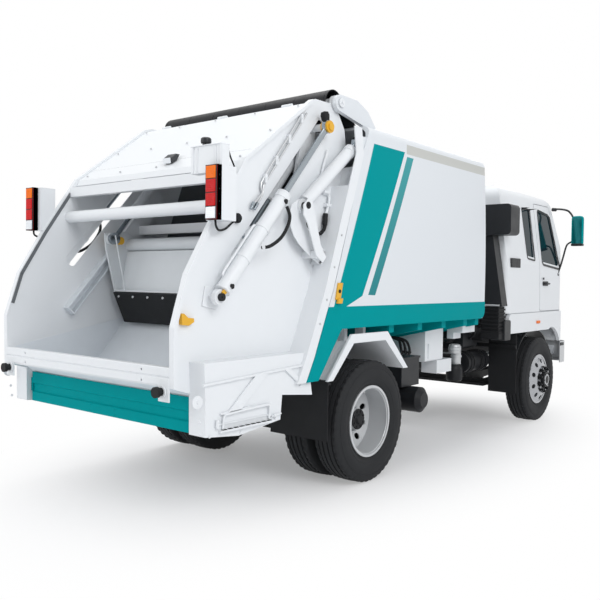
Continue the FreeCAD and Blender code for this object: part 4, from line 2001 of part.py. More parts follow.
def build_bumper():
    """Front bumper wrapped round the corners, its brackets, and the headlamps let into it."""
    low = S.bumper_low
    height = S.bumper_top - low
    half = S.bumper_half_width
    front = FRONT_REACH
    rear = front - S.bumper_depth
    corner = S.bumper_corner
    wall = S.bumper_wall

    def plan(inset, back):
        edge = corner - inset
        return [
            (back, -half + inset), (front - corner, -half + inset),
            (front - inset, -half + corner, edge), (front - inset, half - corner),
            (front - corner, half - inset, edge), (back, half - inset),
        ]

    bulk = slab("bumper_bulk", "XY_Plane", [plan(0, rear)], height, (0, 0, low))
    room = slab("bumper_room", "XY_Plane", [plan(wall, rear - wall)],
                height - wall * 2, (0, 0, low + wall))
    reach = front - S.overrun * 4.5 - rear
    tall_room = slab("bumper_tall_room", "XY_Plane", [plan(wall, rear - wall)],
                     height + wall * 4, (0, 0, low - wall * 2))
    back = box("bumper_back", (reach, half * 2, height + wall * 6),
               (rear, -half, low - wall * 3))
    gap = common("bumper_gap", [tall_room, back])
    depth = S.overrun * 2
    width = S.headlamp_width
    tall = S.headlamp_height
    lamp_low = low + (height - tall) / 2
    holes = []
    lamps = []
    fit = S.fit_gap
    for name, side in (("left", S.headlamp_y), ("right", -S.headlamp_y)):
        holes.append(box(f"lamp_hole_{name}", (depth * 2, width, tall),
                         (front - depth, side - width / 2, lamp_low)))
        lamps.append(box(f"headlamp_{name}", (depth, width - fit * 2, tall - fit * 2),
                         (front - depth - fit, side - width / 2 + fit, lamp_low + fit)))
    shell = cut("bumper_shell", bulk, [room, gap] + holes)
    web = S.frame_half_width
    stays = []
    for name, side in (("left", web - S.frame_flange), ("right", -web)):
        stays.append(box(f"bumper_stay_{name}", (front - wall / 2 - FRAME_NOSE, S.frame_flange,
                                                S.frame_flange),
                         (FRAME_NOSE + fit, side,
                          S.frame_top - S.frame_height + S.frame_wall * 2)))
    node("front_bumper", fused("front_bumper", [shell] + stays))
    node("headlamps", together("headlamps", lamps))


# Building and writing


def check_document():
    """Stops before writing if any feature failed or any sub-part is empty or not valid."""
    for thing in DOCUMENT.Objects:
        if "Invalid" in thing.State or "Error" in thing.State:
            raise RuntimeError(f"{thing.Label} failed: {thing.State}")
    for label, piece in NODES.items():
        if piece.Shape.isNull() or not piece.Shape.isValid():
            raise RuntimeError(f"{label} has no valid shape")
        if not piece.Shape.Solids:
            raise RuntimeError(f"{label} has no solid")


def write_parts():
    os.makedirs("parts", exist_ok=True)
    for label, piece in NODES.items():
        piece.Shape.exportStep(os.path.join("parts", f"{label}.step"))


BUILDERS = (
    build_wheels, build_front_axle, build_knuckles, build_rear_axle, build_springs, build_frame,
    build_engine, build_tanks, build_body, build_hood, build_skirt, build_subframe,
    build_mudguards, build_pusher, build_tailgate, build_hopper, build_cover,
    build_rear_bumper, build_rear_lamps, build_rails, build_carriage, build_blade,
    build_cylinders, build_cab, build_cab_inside, build_air_intake, build_mirrors, build_bumper,
)


def main():
    for build in BUILDERS:
        build()
    DOCUMENT.recompute()
    check_document()
    write_parts()
    print(f"{len(NODES)} sub-parts written")


main()
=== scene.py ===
import math

import bpy
from mathutils import Matrix, Vector
from mathutils.bvhtree import BVHTree


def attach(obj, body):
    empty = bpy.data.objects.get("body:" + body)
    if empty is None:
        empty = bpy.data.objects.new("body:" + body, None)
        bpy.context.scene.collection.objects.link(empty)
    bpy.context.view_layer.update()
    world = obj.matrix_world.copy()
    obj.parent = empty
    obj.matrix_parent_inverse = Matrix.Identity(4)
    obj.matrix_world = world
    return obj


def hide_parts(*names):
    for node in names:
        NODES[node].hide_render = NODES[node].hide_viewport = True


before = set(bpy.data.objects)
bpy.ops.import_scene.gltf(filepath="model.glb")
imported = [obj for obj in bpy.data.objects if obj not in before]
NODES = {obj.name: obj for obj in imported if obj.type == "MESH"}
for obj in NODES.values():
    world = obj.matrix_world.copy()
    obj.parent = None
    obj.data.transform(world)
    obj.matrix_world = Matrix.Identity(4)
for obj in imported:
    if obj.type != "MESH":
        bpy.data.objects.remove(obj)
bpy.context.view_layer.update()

DATUM = -1.34
WHEELBASE = 3.65
AXLE_Z = 0.509
SIDES = {"right": -1, "left": 1}
TURN = 2 * math.pi
SEAL_FOOT = 0.002
CORNER_STEPS = 5


def at(x, y, z):
    """A place whose x is counted from the rear axle, in the row frame."""
    return Vector((x + DATUM, y, z))


# Materials


def linear(colour):
    """Colour from 0-255 display values to scene values."""
    out = []
    for value in colour:
        share = value / 255
        out.append(share / 12.92 if share <= 0.04045 else ((share + 0.055) / 1.055) ** 2.4)
    return (*out, 1.0)


def new_material(name):
    material = bpy.data.materials.new(name)
    material.use_nodes = True
    tree = material.node_tree
    return material, tree, tree.nodes["Principled BSDF"]


def feed(tree, socket, value):
    """Gives a socket a plain value, or links another socket to it."""
    if isinstance(value, bpy.types.NodeSocket):
        tree.links.new(value, socket)
    else:
        socket.default_value = value


def set_inputs(tree, node, values):
    for name, value in values.items():
        feed(tree, node.inputs[name], value)


def add(tree, kind, **values):
    """A node with its settings and inputs."""
    made = tree.nodes.new(kind)
    for key, value in values.items():
        if hasattr(made, key):
            setattr(made, key, value)
        else:
            feed(tree, made.inputs[key.replace("_", " ").title()], value)
    return made


def maths(tree, operation, *values):
    made = add(tree, "ShaderNodeMath", operation=operation)
    for socket, value in zip(made.inputs, values):
        feed(tree, socket, value)
    return made.outputs[0]


def mixed(tree, share, first, second):
    """A colour between two others."""
    mix = add(tree, "ShaderNodeMix", data_type="RGBA")
    for index, value in ((0, share), (6, first), (7, second)):
        feed(tree, mix.inputs[index], value)
    return mix.outputs[2]


def mix_shaders(tree, share, first, second, target):
    """Sends a mix of two shaders to the output node."""
    mix = add(tree, "ShaderNodeMixShader")
    for socket, value in zip(mix.inputs, (share, first, second)):
        feed(tree, socket, value)
    feed(tree, tree.nodes[target].inputs["Surface"], mix.outputs[0])


def grain(tree, scale, detail=4.0):
    """Noise over the row frame, the same size on every piece."""
    coords = add(tree, "ShaderNodeTexCoord").outputs["Object"]
    return add(tree, "ShaderNodeTexNoise", Scale=scale, Detail=detail,
               Vector=coords).outputs["Fac"]


def tinted(tree, colour, source, change):
    """The colour, a little lighter and darker by the noise."""
    base = linear(colour)[:3]
    dark = (*(channel * (1 - change) for channel in base), 1.0)
    light = (*(min(channel * (1 + change), 1) for channel in base), 1.0)
    return mixed(tree, source, dark, light)


def finish_material(name, colour, rough=0.4, metal=0.0, coat=0.0, bump=0.0, fine=180.0,
                    change=0.03, rough_change=0.05, gloss=0.5, sheen=0.0):
    material, tree, shader = new_material(name)
    broad = grain(tree, 9.0)
    roughness = add(tree, "ShaderNodeMapRange", From_Min=0.3, From_Max=0.7, Value=broad,
                    To_Min=rough - rough_change, To_Max=rough + rough_change)
    set_inputs(tree, shader, {
        "Base Color": tinted(tree, colour, broad, change), "Roughness": roughness.outputs["Result"],
        "Metallic": metal, "Coat Weight": coat, "Coat Roughness": 0.08,
        "Specular IOR Level": gloss, "Sheen Weight": sheen})
    if bump:
        press = add(tree, "ShaderNodeBump", Strength=bump, Distance=0.002,
                    Height=grain(tree, fine, 3.0))
        feed(tree, shader.inputs["Normal"], press.outputs["Normal"])
    return material


def glass_material(name, colour, clear):
    material, tree, shader = new_material(name)
    set_inputs(tree, shader, {
        "Base Color": tinted(tree, colour, grain(tree, 4.0), 0.05), "Roughness": 0.05,
        "IOR": 1.3, "Specular IOR Level": 0.3, "Transmission Weight": clear})
    return material


TEAL = (0, 145, 149)
TEAL_BAND = ((-0.182, 1.556), (0.488, 2.812), (-0.004, 2.812), (-0.60, 1.400))
LINE_BAND = ((-0.098, 1.563), (0.006, 1.559), (0.636, 2.775), (0.525, 2.777))
BEIGE_BAND = ((0.52, 2.800), (2.2, 2.800), (2.2, 2.884), (0.52, 2.884))

MAT = {
    "white": finish_material("white_paint", (226, 229, 232), rough=0.34, coat=0.08,
                             change=0.012, gloss=0.3),
    "white_worn": finish_material("hopper_white", (216, 220, 223), rough=0.45, gloss=0.3),
    "teal": finish_material("teal_paint", TEAL, rough=0.45, gloss=0.02),
    "black": finish_material("black_paint", (30, 31, 34), rough=0.42, gloss=0.2, bump=0.03),
    "steel": finish_material("hopper_steel", (221, 226, 231), rough=0.42, bump=0.02, gloss=0.3),
    "silver": finish_material("silver_paint", (196, 198, 200), rough=0.35, metal=0.35,
                              bump=0.02),
    "polished": finish_material("polished_wheel", (172, 174, 178), rough=0.26, metal=0.9,
                                bump=0.01, change=0.05),
    "chrome": finish_material("bright_rod", (158, 166, 172), rough=0.16, metal=1.0,
                              rough_change=0.03),
    "casting": finish_material("casting", (34, 35, 37), rough=0.6, bump=0.2, gloss=0.25),
    "tyre": finish_material("tyre_rubber", (40, 41, 43), rough=0.7, bump=0.12, fine=90,
                            change=0.12, gloss=0.2),
    "rubber": finish_material("soft_rubber", (30, 31, 33), rough=0.6, bump=0.08, gloss=0.2),
    "grey_rubber": finish_material("grey_rubber", (98, 102, 106), rough=0.6, bump=0.05),
    "plastic": finish_material("black_plastic", (34, 36, 39), rough=0.4, bump=0.08, gloss=0.3),
    "dark": finish_material("dark_plastic", (58, 60, 63), rough=0.6, bump=0.08, gloss=0.3),
    "glass": glass_material("window_glass", (12, 40, 48), 0.08),
    "mirror": finish_material("mirror_glass", (0, 118, 122), rough=0.12, metal=0.55, coat=0.3,
                              change=0.10),
    "red_lens": finish_material("lamp_red", (196, 12, 16), rough=0.3, change=0.1, gloss=0.15),
    "amber_lens": finish_material("lamp_amber", (236, 112, 10), rough=0.3, change=0.1,
                                  gloss=0.15),
    "clear_lens": finish_material("lamp_clear", (226, 230, 234), rough=0.12, coat=0.8),
    "cloth": finish_material("seat_cloth", (62, 66, 72), rough=0.9, bump=0.3, sheen=0.3),
    "yellow": finish_material("yellow_paint", (222, 168, 40), rough=0.45, bump=0.05),
    "seam": finish_material("seam_dark", (20, 21, 23), rough=0.7),
}


def half_plane(tree, across, up, first, last):
    """1 on the left of the way from first to last, both (x from the rear axle, z)."""
    ax, az = first[0] + DATUM, first[1]
    bx, bz = last[0] + DATUM, last[1]
    length = math.hypot(bx - ax, bz - az)
    nx, nz = (az - bz) / length, (bx - ax) / length
    reach = maths(tree, "MULTIPLY_ADD", up, nz, maths(tree, "MULTIPLY", across, nx))
    return maths(tree, "GREATER_THAN", reach, nx * ax + nz * az)


def inside(tree, across, up, corners):
    """1 inside a convex outline given counter-clockwise."""
    mask = 1.0
    for first, last in zip(corners, corners[1:] + corners[:1]):
        mask = maths(tree, "MULTIPLY", mask, half_plane(tree, across, up, first, last))
    return mask


def body_material():
    """White body paint with the two slanting teal bands and the beige band below the cornice.
    The bands show on outer faces alone, and inner faces get a darker grey, which is painted shade."""
    material, tree, shader = new_material("body_paint")
    place = add(tree, "ShaderNodeSeparateXYZ",
                Vector=add(tree, "ShaderNodeTexCoord").outputs["Object"])
    normal = add(tree, "ShaderNodeSeparateXYZ",
                 Vector=add(tree, "ShaderNodeNewGeometry").outputs["True Normal"])
    across, side, up = place.outputs
    facing = maths(tree, "MULTIPLY", side, normal.outputs[1])
    outer = maths(tree, "GREATER_THAN", facing, 0.02)
    inner = maths(tree, "LESS_THAN", facing, -0.02)
    # Inner faces take a darker grey here: painted shade of the body's inside, not a colour of the paint.
    result = mixed(tree, inner, linear((218, 222, 226)), linear((118, 122, 126)))
    fade = add(tree, "ShaderNodeMapRange", From_Min=2.777, From_Max=1.56, Value=up).outputs[0]
    light_teal = mixed(tree, fade, linear((52, 150, 154)), linear((16, 124, 130)))
    masks = []
    for corners, paint in ((TEAL_BAND, linear(TEAL)), (LINE_BAND, light_teal),
                           (BEIGE_BAND, linear((192, 193, 189)))):
        masks.append(maths(tree, "MULTIPLY", inside(tree, across, up, corners), outer))
        result = mixed(tree, masks[-1], result, paint)
    gloss = maths(tree, "MULTIPLY_ADD", masks[0], -0.20, 0.22)
    set_inputs(tree, shader, {"Base Color": result, "Roughness": 0.36,
                              "Specular IOR Level": gloss})
    return material


MAT["body"] = body_material()

NODE_PAINT = {
    "body": ("body_shell",),
    "white": ("cab_shell", "door_*", "tailgate_frame", "tailgate_cover", "oil_tank",
              "rear_mudguards", "packing_barrels", "lift_barrels", "packer_carriage",
              "sweep_barrels"),
    "white_worn": ("sweep_blade",),
    "teal": ("body_skirt", "subframe", "rear_bumper"),
    "black": ("chassis_frame", "air_tank", "silencer", "rain_hood"),
    "steel": ("hopper_floor", "guide_rails", "pusher"),
    "silver": ("front_bumper", "fuel_tank", "oil_filter", "rear_wheels_*"),
    "polished": ("front_wheel_*",),
    "chrome": ("packing_rods", "sweep_rods", "lift_rods"),
    "casting": ("front_axle", "rear_axle", "leaf_springs", "driveline", "engine", "knuckle_*",
                "tie_rod"),
    "tyre": ("front_tyre_*", "rear_tyres_*"),
    "rubber": ("mud_flaps", "buffers", "blade_rubber"),
    "plastic": ("battery_box", "air_cleaner", "air_intake", "mirror_*"),
    "dark": ("dashboard",),
    "glass": ("cab_glass", "door_glass_*"),
    "red_lens": ("rear_lamps",),
    "clear_lens": ("headlamps",),
    "cloth": ("seats",),
}


def paint_nodes():
    """Paints the nodes. A star in a name stands for each side."""
    for paint, names in NODE_PAINT.items():
        for name in names:
            for word in SIDES:
                data = NODES[name.replace("*", word)].data
                data.materials.clear()
                data.materials.append(MAT[paint])


paint_nodes()

# Ways of making pieces


def put(name, data):
    """A new object of the scene."""
    made = bpy.data.objects.new(name, data)
    bpy.context.scene.collection.objects.link(made)
    return made


def piece(name, mesh, body, paint, slot=None, smooth=False, bevel=0.0, angle=35):
    """A mesh that rides a body and takes the finish of its paint."""
    data = bpy.data.meshes.new(name)
    data.from_pydata([tuple(vert) for vert in mesh.verts], [], mesh.faces)
    data.validate()
    data.update()
    data.materials.append(MAT[paint])
    made = put(name, data)
    if bevel:
        angle = 40
        edge = made.modifiers.new("edges", "BEVEL")
        edge.width = bevel
        edge.segments = 2
        edge.limit_method = "ANGLE"
        edge.angle_limit = math.radians(angle)
    if smooth or bevel:
        data.shade_smooth()
        data.set_sharp_from_angle(angle=math.radians(angle))
    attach(made, body)
    return made


def each_side(body, paint, name=None, replaced=None, **options):
    """Makes a piece on each side with the function under it, which adds solids to a mesh and
    gives the piece its name. A star in the other names stands for the side."""
    def make(build):
        for word, side in SIDES.items():
            mesh = Mesh(side)
            build(mesh)
            made = piece(f"{name or build.__name__}_{word}", mesh, body.replace("*", word), paint,
                         **options)
            if replaced:
                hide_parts(replaced.replace("*", word))
    return make


def single(body, paint, sides=(1,), **options):
    """Makes one piece with the function under it, which gives it its name."""
    def make(build):
        mesh = Mesh()
        for side in sides:
            mesh.side = side
            build(mesh)
        piece(build.__name__, mesh, body, paint, **options)
    return make


def both_sides(body, paint, **options):
    """Makes one piece that holds the same solids on both sides."""
    return single(body, paint, SIDES.values(), **options)


def circle(middle, way, radius, sides, aside=None):
    """Places round a middle, square to a way."""
    aside = (aside or way.orthogonal()).normalized()
    third = way.cross(aside)
    turns = [TURN * index / sides for index in range(sides)]
    return [middle + (aside * math.cos(turn) + third * math.sin(turn)) * radius for turn in turns]


def smooth_line(spots, steps):
    """More points between the given ones, on a smooth curve through them."""
    ends = [spots[0], *spots, spots[-1]]
    line = []
    for p0, p1, p2, p3 in zip(ends, ends[1:], ends[2:], ends[3:]):
        for step in range(steps):
            t = step / steps
            line.append(0.5 * ((2 * p1) + (p2 - p0) * t + (2 * p0 - 5 * p1 + 4 * p2 - p3) * t * t
                               + (3 * p1 - p0 - 3 * p2 + p3) * t * t * t))
    return [*line, spots[-1]]


class Mesh:
    """Collects simple solids. It is told the left side, and side -1 puts them on the right."""

    def __init__(self, side=1):
        self.side = side
        self.verts = []
        self.faces = []

    def at(self, x, y, z):
        return at(x, self.side * y, z)

    def loft(self, rings, capped=True):
        """Skins rings of places, with the first and the last ring closed by a cap."""
        start = len(self.verts)
        count = len(rings[0])
        self.verts += [spot for ring in rings for spot in ring]
        for near in range(start, len(self.verts) - count, count):
            for spot in range(count):
                after = (spot + 1) % count
                self.faces.append((near + spot, near + after, near + after + count,
                                   near + spot + count))
        if capped:
            end = len(self.verts)
            self.faces += [tuple(range(start + count - 1, start - 1, -1)),
                           tuple(range(end - count, end))]

    def prism(self, outline, low, high, plane="xz"):
        """An outline pulled between two depths: xz along y, yz along x, xy along z."""
        order = {"xz": lambda one, two, depth: (one, depth, two),
                 "yz": lambda one, two, depth: (depth, one, two),
                 "xy": lambda one, two, depth: (one, two, depth)}[plane]
        self.loft([[self.at(*order(*spot, depth)) for spot in outline] for depth in (low, high)])

    def box(self, low, high):
        self.prism(rect(low[0], low[2], high[0], high[2]), low[1], high[1])

    def rod(self, start, end, radius, sides=16):
        """A round bar between two places."""
        start, end = self.at(*start), self.at(*end)
        way = (end - start).normalized()
        self.loft([circle(middle, way, radius, sides) for middle in (start, end)])

    def peg(self, x, z, low, high, radius, sides=24):
        """A round bar square to the side of the vehicle."""
        self.rod((x, low, z), (x, high, z), radius, sides)

    def sweep(self, points, radius, sides=10, steps=6):
        """A round tube along a smooth line through some points."""
        line = smooth_line([self.at(*point) for point in points], steps)
        aside = None
        rings = []
        for before, spot, after in zip([line[0], *line], line, [*line[1:], line[-1]]):
            way = (after - before).normalized()
            aside = aside or way.orthogonal().normalized()
            aside = (aside - way * aside.dot(way)).normalized()
            rings.append(circle(spot, way, radius, sides, aside))
        self.loft(rings)

    def lathe(self, profile, centre, axis=(0, 1, 0), sides=48):
        """A profile of (along, radius) turned about an axis; ends close where radius is 0."""
        middle = self.at(*centre)
        axis = Vector((axis[0], self.side * axis[1], axis[2])).normalized()
        self.loft([circle(middle + axis * along, axis, radius, sides)
                   for along, radius in profile], capped=False)

    def bolt(self, place, way=(0, 1, 0), radius=0.009, reach=0.006):
        """A bolt head on its washer, standing out along a way."""
        place, way = Vector(place), Vector(way)
        self.rod(place, place + way * 0.002, radius * 1.35, 14)
        self.rod(place + way * 0.0015, place + way * reach, radius, 6)

    def surround(self, outline, place, low, high, lift):
        """A flat ring round an outline, laid on a skin by a function that gives its places."""
        corners = ((high, SEAL_FOOT), (high, lift), (low, lift), (low, SEAL_FOOT))
        self.loft([[self.at(*place(*spot, rise)) for spot in widened(outline, gap)]
                   for gap, rise in corners], capped=False)


def rect(x0, z0, x1, z1):
    return [(x0, z0), (x1, z0), (x1, z1), (x0, z1)]


def rounded(corners, radius):
    """An outline with its corners turned into curves."""
    out = []
    for index, corner in enumerate(corners):
        here = Vector(corner)
        before = here + (Vector(corners[index - 1]) - here).normalized() * radius
        after = here + (Vector(corners[(index + 1) % len(corners)]) - here).normalized() * radius
        for step in range(CORNER_STEPS + 1):
            t = step / CORNER_STEPS
            out.append(before * (1 - t) ** 2 + here * (2 * t * (1 - t)) + after * t ** 2)
    return out


def widened(outline, gap):
    """The outline moved outwards by a gap."""
    area = sum(a.x * b.y - b.x * a.y for a, b in zip(outline, outline[1:] + outline[:1]))
    reach = gap if area > 0 else -gap
    out = []
    for index, here in enumerate(outline):
        along = (outline[(index + 1) % len(outline)] - outline[index - 1]).normalized()
        out.append(here + Vector((along.y, -along.x)) * reach)
    return out


def spread_round(centre, radius, count, first=0.5):
    """(x, z) of places spread evenly round a wheel's middle."""
    for index in range(count):
        turn = TURN * (index + first) / count
        yield centre[0] + radius * math.cos(turn), centre[2] + radius * math.sin(turn)


def skin(*names):
    """The outer surface of some pieces, to lay details on."""
    verts, faces = [], []
    for name in names:
        thing = NODES[name]
        start = len(verts)
        verts += [thing.matrix_world @ vert.co for vert in thing.data.vertices]
        faces += [[index + start for index in face.vertices] for face in thing.data.polygons]
    return BVHTree.FromPolygons(verts, faces)


def side_at(tree, x, z, side, lift=0.0):
    """The place on a side of the vehicle, a little outside the skin, told as on the left."""
    hit = tree.ray_cast(Vector((x + DATUM, side * 3, z)), Vector((0, -side, 0)))[0]
    return (x, (1.15 if hit is None else side * hit.y) + lift, z)


def end_at(tree, y, z, way, lift=0.0):
    """The place on the front (way 1) or rear (way -1) end of some pieces."""
    hit = tree.ray_cast(Vector((way * 9, y, z)), Vector((-way, 0, 0)))[0]
    return (hit.x - DATUM + way * lift, y, z)


# Tyres and wheels

FRONT = (WHEELBASE, 1.065, AXLE_Z)
OUTER = (0, 1.024, AXLE_Z)
INNER = (0, 0.708, AXLE_Z)
# Along the axle from the tyre's middle, and radius
TYRE_WALL = [
    (0.086, 0.2862), (0.096, 0.2990), (0.104, 0.3150), (0.1165, 0.3430), (0.1245, 0.3750),
    (0.1268, 0.4030), (0.1240, 0.4330), (0.1172, 0.4600), (0.1140, 0.4780), (0.1110, 0.4905),
    (0.1045, 0.5000), (0.0960, 0.5060),
]
GROOVES = (0.066, 0.0235, -0.0235, -0.066)
NUT = 0.0165


def tyre_profile():
    """Half the wall, the tread with its grooves, and the other half wall."""
    tread = []
    for groove in GROOVES:
        top = 0.5088 - 0.9 * groove * groove
        tread += [(groove + 0.0062, top), (groove + 0.0042, top - 0.0125),
                  (groove - 0.0042, top - 0.0125), (groove - 0.0062, top)]
    return TYRE_WALL + tread + [(-along, radius) for along, radius in reversed(TYRE_WALL)]


def tyre(mesh, centre, sides=144):
    """A tyre with grooves round it and notches in its shoulders."""
    middle = mesh.at(*centre)
    rings = []
    for along, radius in tyre_profile():
        notch = 0.008 if abs(along) > 0.0715 and radius > 0.485 else 0.0
        ring = []
        for index in range(sides):
            turn = TURN * index / sides
            reach = radius if index % 3 else radius - notch
            ring.append(middle + Vector((math.cos(turn) * reach, along, math.sin(turn) * reach)))
        rings.append(ring)
    mesh.loft(rings, capped=False)


def wall_rings(mesh, centre):
    """Raised rings on a tyre's outer wall."""
    for radius, along, width in ((0.352, 0.1182, 0.004), (0.448, 0.1204, 0.003),
                                 (0.3155, 0.1045, 0.004)):
        low = along - 0.002
        mesh.lathe([(low, radius - width), (along + 0.0022, radius), (low, radius + width)],
                   centre, sides=72)


@each_side("front_wheel_*", "tyre", replaced="front_tyre_*", smooth=True, angle=28)
def front_tyre_tread(mesh):
    tyre(mesh, FRONT)


@each_side("rear_wheels_*", "tyre", replaced="rear_tyres_*", smooth=True, angle=28)
def rear_tyre_tread_outer(mesh):
    tyre(mesh, OUTER)


@each_side("rear_wheels_*", "tyre", smooth=True, angle=28)
def rear_tyre_tread_inner(mesh):
    tyre(mesh, INNER)


@each_side("front_wheel_*", "tyre", smooth=True)
def front_tyre_rings(mesh):
    wall_rings(mesh, FRONT)


@each_side("rear_wheels_*", "tyre", smooth=True)
def rear_tyre_rings(mesh):
    wall_rings(mesh, OUTER)


def nut_ring(mesh, centre, along, reach):
    """Ten nuts, each with a round washer under it and its stud end on top."""
    y = centre[1] + along
    for x, z in spread_round(centre, 0.143, 10):
        mesh.peg(x, z, y, y + 0.004, NUT * 1.35, 16)
        mesh.peg(x, z, y + 0.003, y + reach, NUT, 6)
        mesh.peg(x, z, y + reach, y + reach + 0.008, NUT * 0.55, 10)


def rim_edges(mesh, centre, edges):
    """Raised edges of a rim, each given by its radius and its place along the axle."""
    for radius, along in edges:
        low = along - 0.004
        mesh.lathe([(low, radius - 0.005), (along, radius), (low, radius + 0.004)], centre,
                   sides=72)


def valve(mesh, centre, degrees, radius, stem, cap):
    """A valve whose stem and cap are each given by (y, rise) of both ends."""
    turn = math.radians(degrees)
    x, z = centre[0] + radius * math.cos(turn), centre[2] + radius * math.sin(turn)
    for ((y0, low), (y1, high)), thick in ((stem, 0.0045), (cap, 0.0062)):
        mesh.rod((x, y0, z + low), (x, y1, z + high), thick, 8)


@each_side("front_wheel_*", "black", smooth=True)
def front_wheel_nuts(mesh):
    nut_ring(mesh, FRONT, 0.162, 0.036)


@each_side("rear_wheels_*", "silver", smooth=True)
def rear_wheel_nuts(mesh):
    nut_ring(mesh, INNER, 0.176, 0.034)


@each_side("front_wheel_*", "black", smooth=True)
def front_hub_cap(mesh):
    mesh.lathe([(0.160, 0.118), (0.166, 0.118), (0.168, 0.094), (0.200, 0.0905),
                (0.2075, 0.083), (0.2105, 0.060), (0.2165, 0.040), (0.2165, 0.0)], FRONT)
    for x, z in spread_round(FRONT, 0.071, 6, 0):
        mesh.peg(x, z, FRONT[1] + 0.205, FRONT[1] + 0.2155, 0.007, 6)


@each_side("rear_wheels_*", "casting", smooth=True)
def rear_shaft_flange(mesh):
    mesh.lathe([(0.2925, 0.088), (0.2995, 0.088), (0.3035, 0.083), (0.3035, 0.046),
                (0.3205, 0.036), (0.3225, 0.030), (0.3225, 0.0)], INNER, sides=40)
    for x, z in spread_round(INNER, 0.066, 8):
        mesh.peg(x, z, INNER[1] + 0.301, INNER[1] + 0.3125, 0.0095, 6)


@each_side("front_wheel_*", "polished", smooth=True)
def front_rim_edge(mesh):
    rim_edges(mesh, FRONT, ((0.2935, 0.1045), (0.2585, 0.1125)))
    valve(mesh, FRONT, 96, 0.262, ((1.170, 0), (1.214, -0.02)),
          ((1.212, -0.0195), (1.222, -0.024)))


@each_side("rear_wheels_*", "silver", smooth=True)
def rear_rim_edge(mesh):
    rim_edges(mesh, OUTER, ((0.2935, 0.1045), (0.2735, 0.0965)))
    valve(mesh, OUTER, 100, 0.238, ((0.935, 0), (1.085, 0.006)),
          ((1.083, 0.006), (1.096, 0.0065)))


# Rear lamps

PLATE_Y = 0.979
LENS_RIB_X = -1.8127
LENSES = (("amber_lens", 2.322, 2.402), ("red_lens", 2.234, 2.316), ("red_lens", 2.146, 2.228),
          ("clear_lens", 2.066, 2.140))


def rear_lens(index, paint, low, high):
    """One lens block of the rear lamps with the ribs on its face."""
    @each_side("tailgate", paint, f"rear_lens_{index}", bevel=0.003)
    def block(mesh):
        mesh.box((-1.8125, 1.026, low), (-1.7985, 1.112, high))

    @each_side("tailgate", paint, f"rear_lens_ribs_{index}")
    def ribs(mesh):
        for step in range(1, 6):
            mesh.peg(LENS_RIB_X, low + (high - low) * step / 6, 1.031, 1.107, 0.0011, 6)


for index, lens in enumerate(LENSES):
    rear_lens(index, *lens)


@each_side("tailgate", "plastic")
def rear_lamp_frame(mesh):
    """Tray behind the lenses, with strips round and between them."""
    mesh.box((-1.799, 1.019, 2.058), (-1.7575, 1.119, 2.410))
    for low, high in ((1.0195, 1.0255), (1.1125, 1.1185)):
        mesh.box((-1.807, low, 2.0585), (-1.7595, high, 2.4095))
    for z in (2.0585, 2.1405, 2.2285, 2.3165, 2.4035):
        mesh.box((-1.805, 1.0195, z), (-1.7595, 1.1185, z + 0.005))
    for z in (2.095, 2.175, 2.255, 2.345):
        mesh.peg(-1.779, z, 1.118, 1.1215, 0.004, 10)


@each_side("tailgate", "rubber", smooth=True)
def rear_lamp_wire(mesh):
    mesh.sweep([(-1.765, 1.07, 2.062), (-1.755, 1.068, 2.020), (-1.690, 1.030, 1.998),
                (-1.600, 1.000, 2.015), (-1.540, 0.996, 2.055), (-1.495, 0.996, 2.085)], 0.0075)
    mesh.peg(-1.482, 2.094, PLATE_Y, 1.004, 0.034)
    mesh.peg(-1.482, 2.094, 1.004, 1.016, 0.024, 20)


@single("tailgate", "white", bevel=0.002)
def lamp_housing(mesh):
    """Flanges and top of the housing beside the right rear lamp."""
    y0, y1 = -1.114, -0.834
    for low, high, foot, top in ((y0, y0 + 0.012, 2.372, 2.549), (y1 - 0.022, y1, 2.372, 2.549),
                                 (y0 + 0.045, y0 + 0.053, 2.418, 2.537),
                                 (y1 - 0.062, y1 - 0.056, 2.372, 2.537)):
        mesh.box((-1.764, low, foot), (-1.756, high, top))
    mesh.box((-1.768, y0 - 0.002, 2.545), (-1.688, y1 + 0.002, 2.552))


@single("tailgate", "plastic", smooth=True)
def housing_knob(mesh):
    x, y = -1.724, -0.935
    mesh.rod((x, y, 2.551), (x, y, 2.572), 0.024, 20)
    mesh.lathe([(0, 0.034), (0.012, 0.036), (0.030, 0.034), (0.037, 0.026), (0.037, 0.0)],
               (x, y, 2.570), (0, 0, 1), 20)


@single("tailgate", "rubber", smooth=True)
def housing_wire(mesh):
    mesh.sweep([(-1.70, -1.116, 2.52), (-1.62, -1.04, 2.53), (-1.55, -0.99, 2.50),
                (-1.50, -0.985, 2.42), (-1.51, -0.985, 2.33), (-1.56, -0.985, 2.26)], 0.006)


# Tailgate

RAIL = math.radians(48.45)
BOX_Y = 1.1205
SEAM_Y = 1.1525


def along_rail(start, along, across=0.0):
    """A place given along the packing slope and square to it, from a start (x, z)."""
    return (start[0] + math.cos(RAIL) * along - math.sin(RAIL) * across,
            start[1] + math.sin(RAIL) * along + math.cos(RAIL) * across)


PACK_FOOT = along_rail((-0.565, 2.862), -1.74)
PACK_EYE = along_rail(PACK_FOOT, 1.735)
HINGE = (-0.350, 3.090)
STEP_Y = 1.134
EDGE_LINE = ((-1.500, 2.394), (-1.7405, 2.0430), (-1.9475, 1.7070), (-2.0255, 1.4700))


def from_foot(*offsets):
    """Places (x, z) counted from the lower pin of the packing cylinder."""
    return [(PACK_FOOT[0] + x, PACK_FOOT[1] + z) for x, z in offsets]


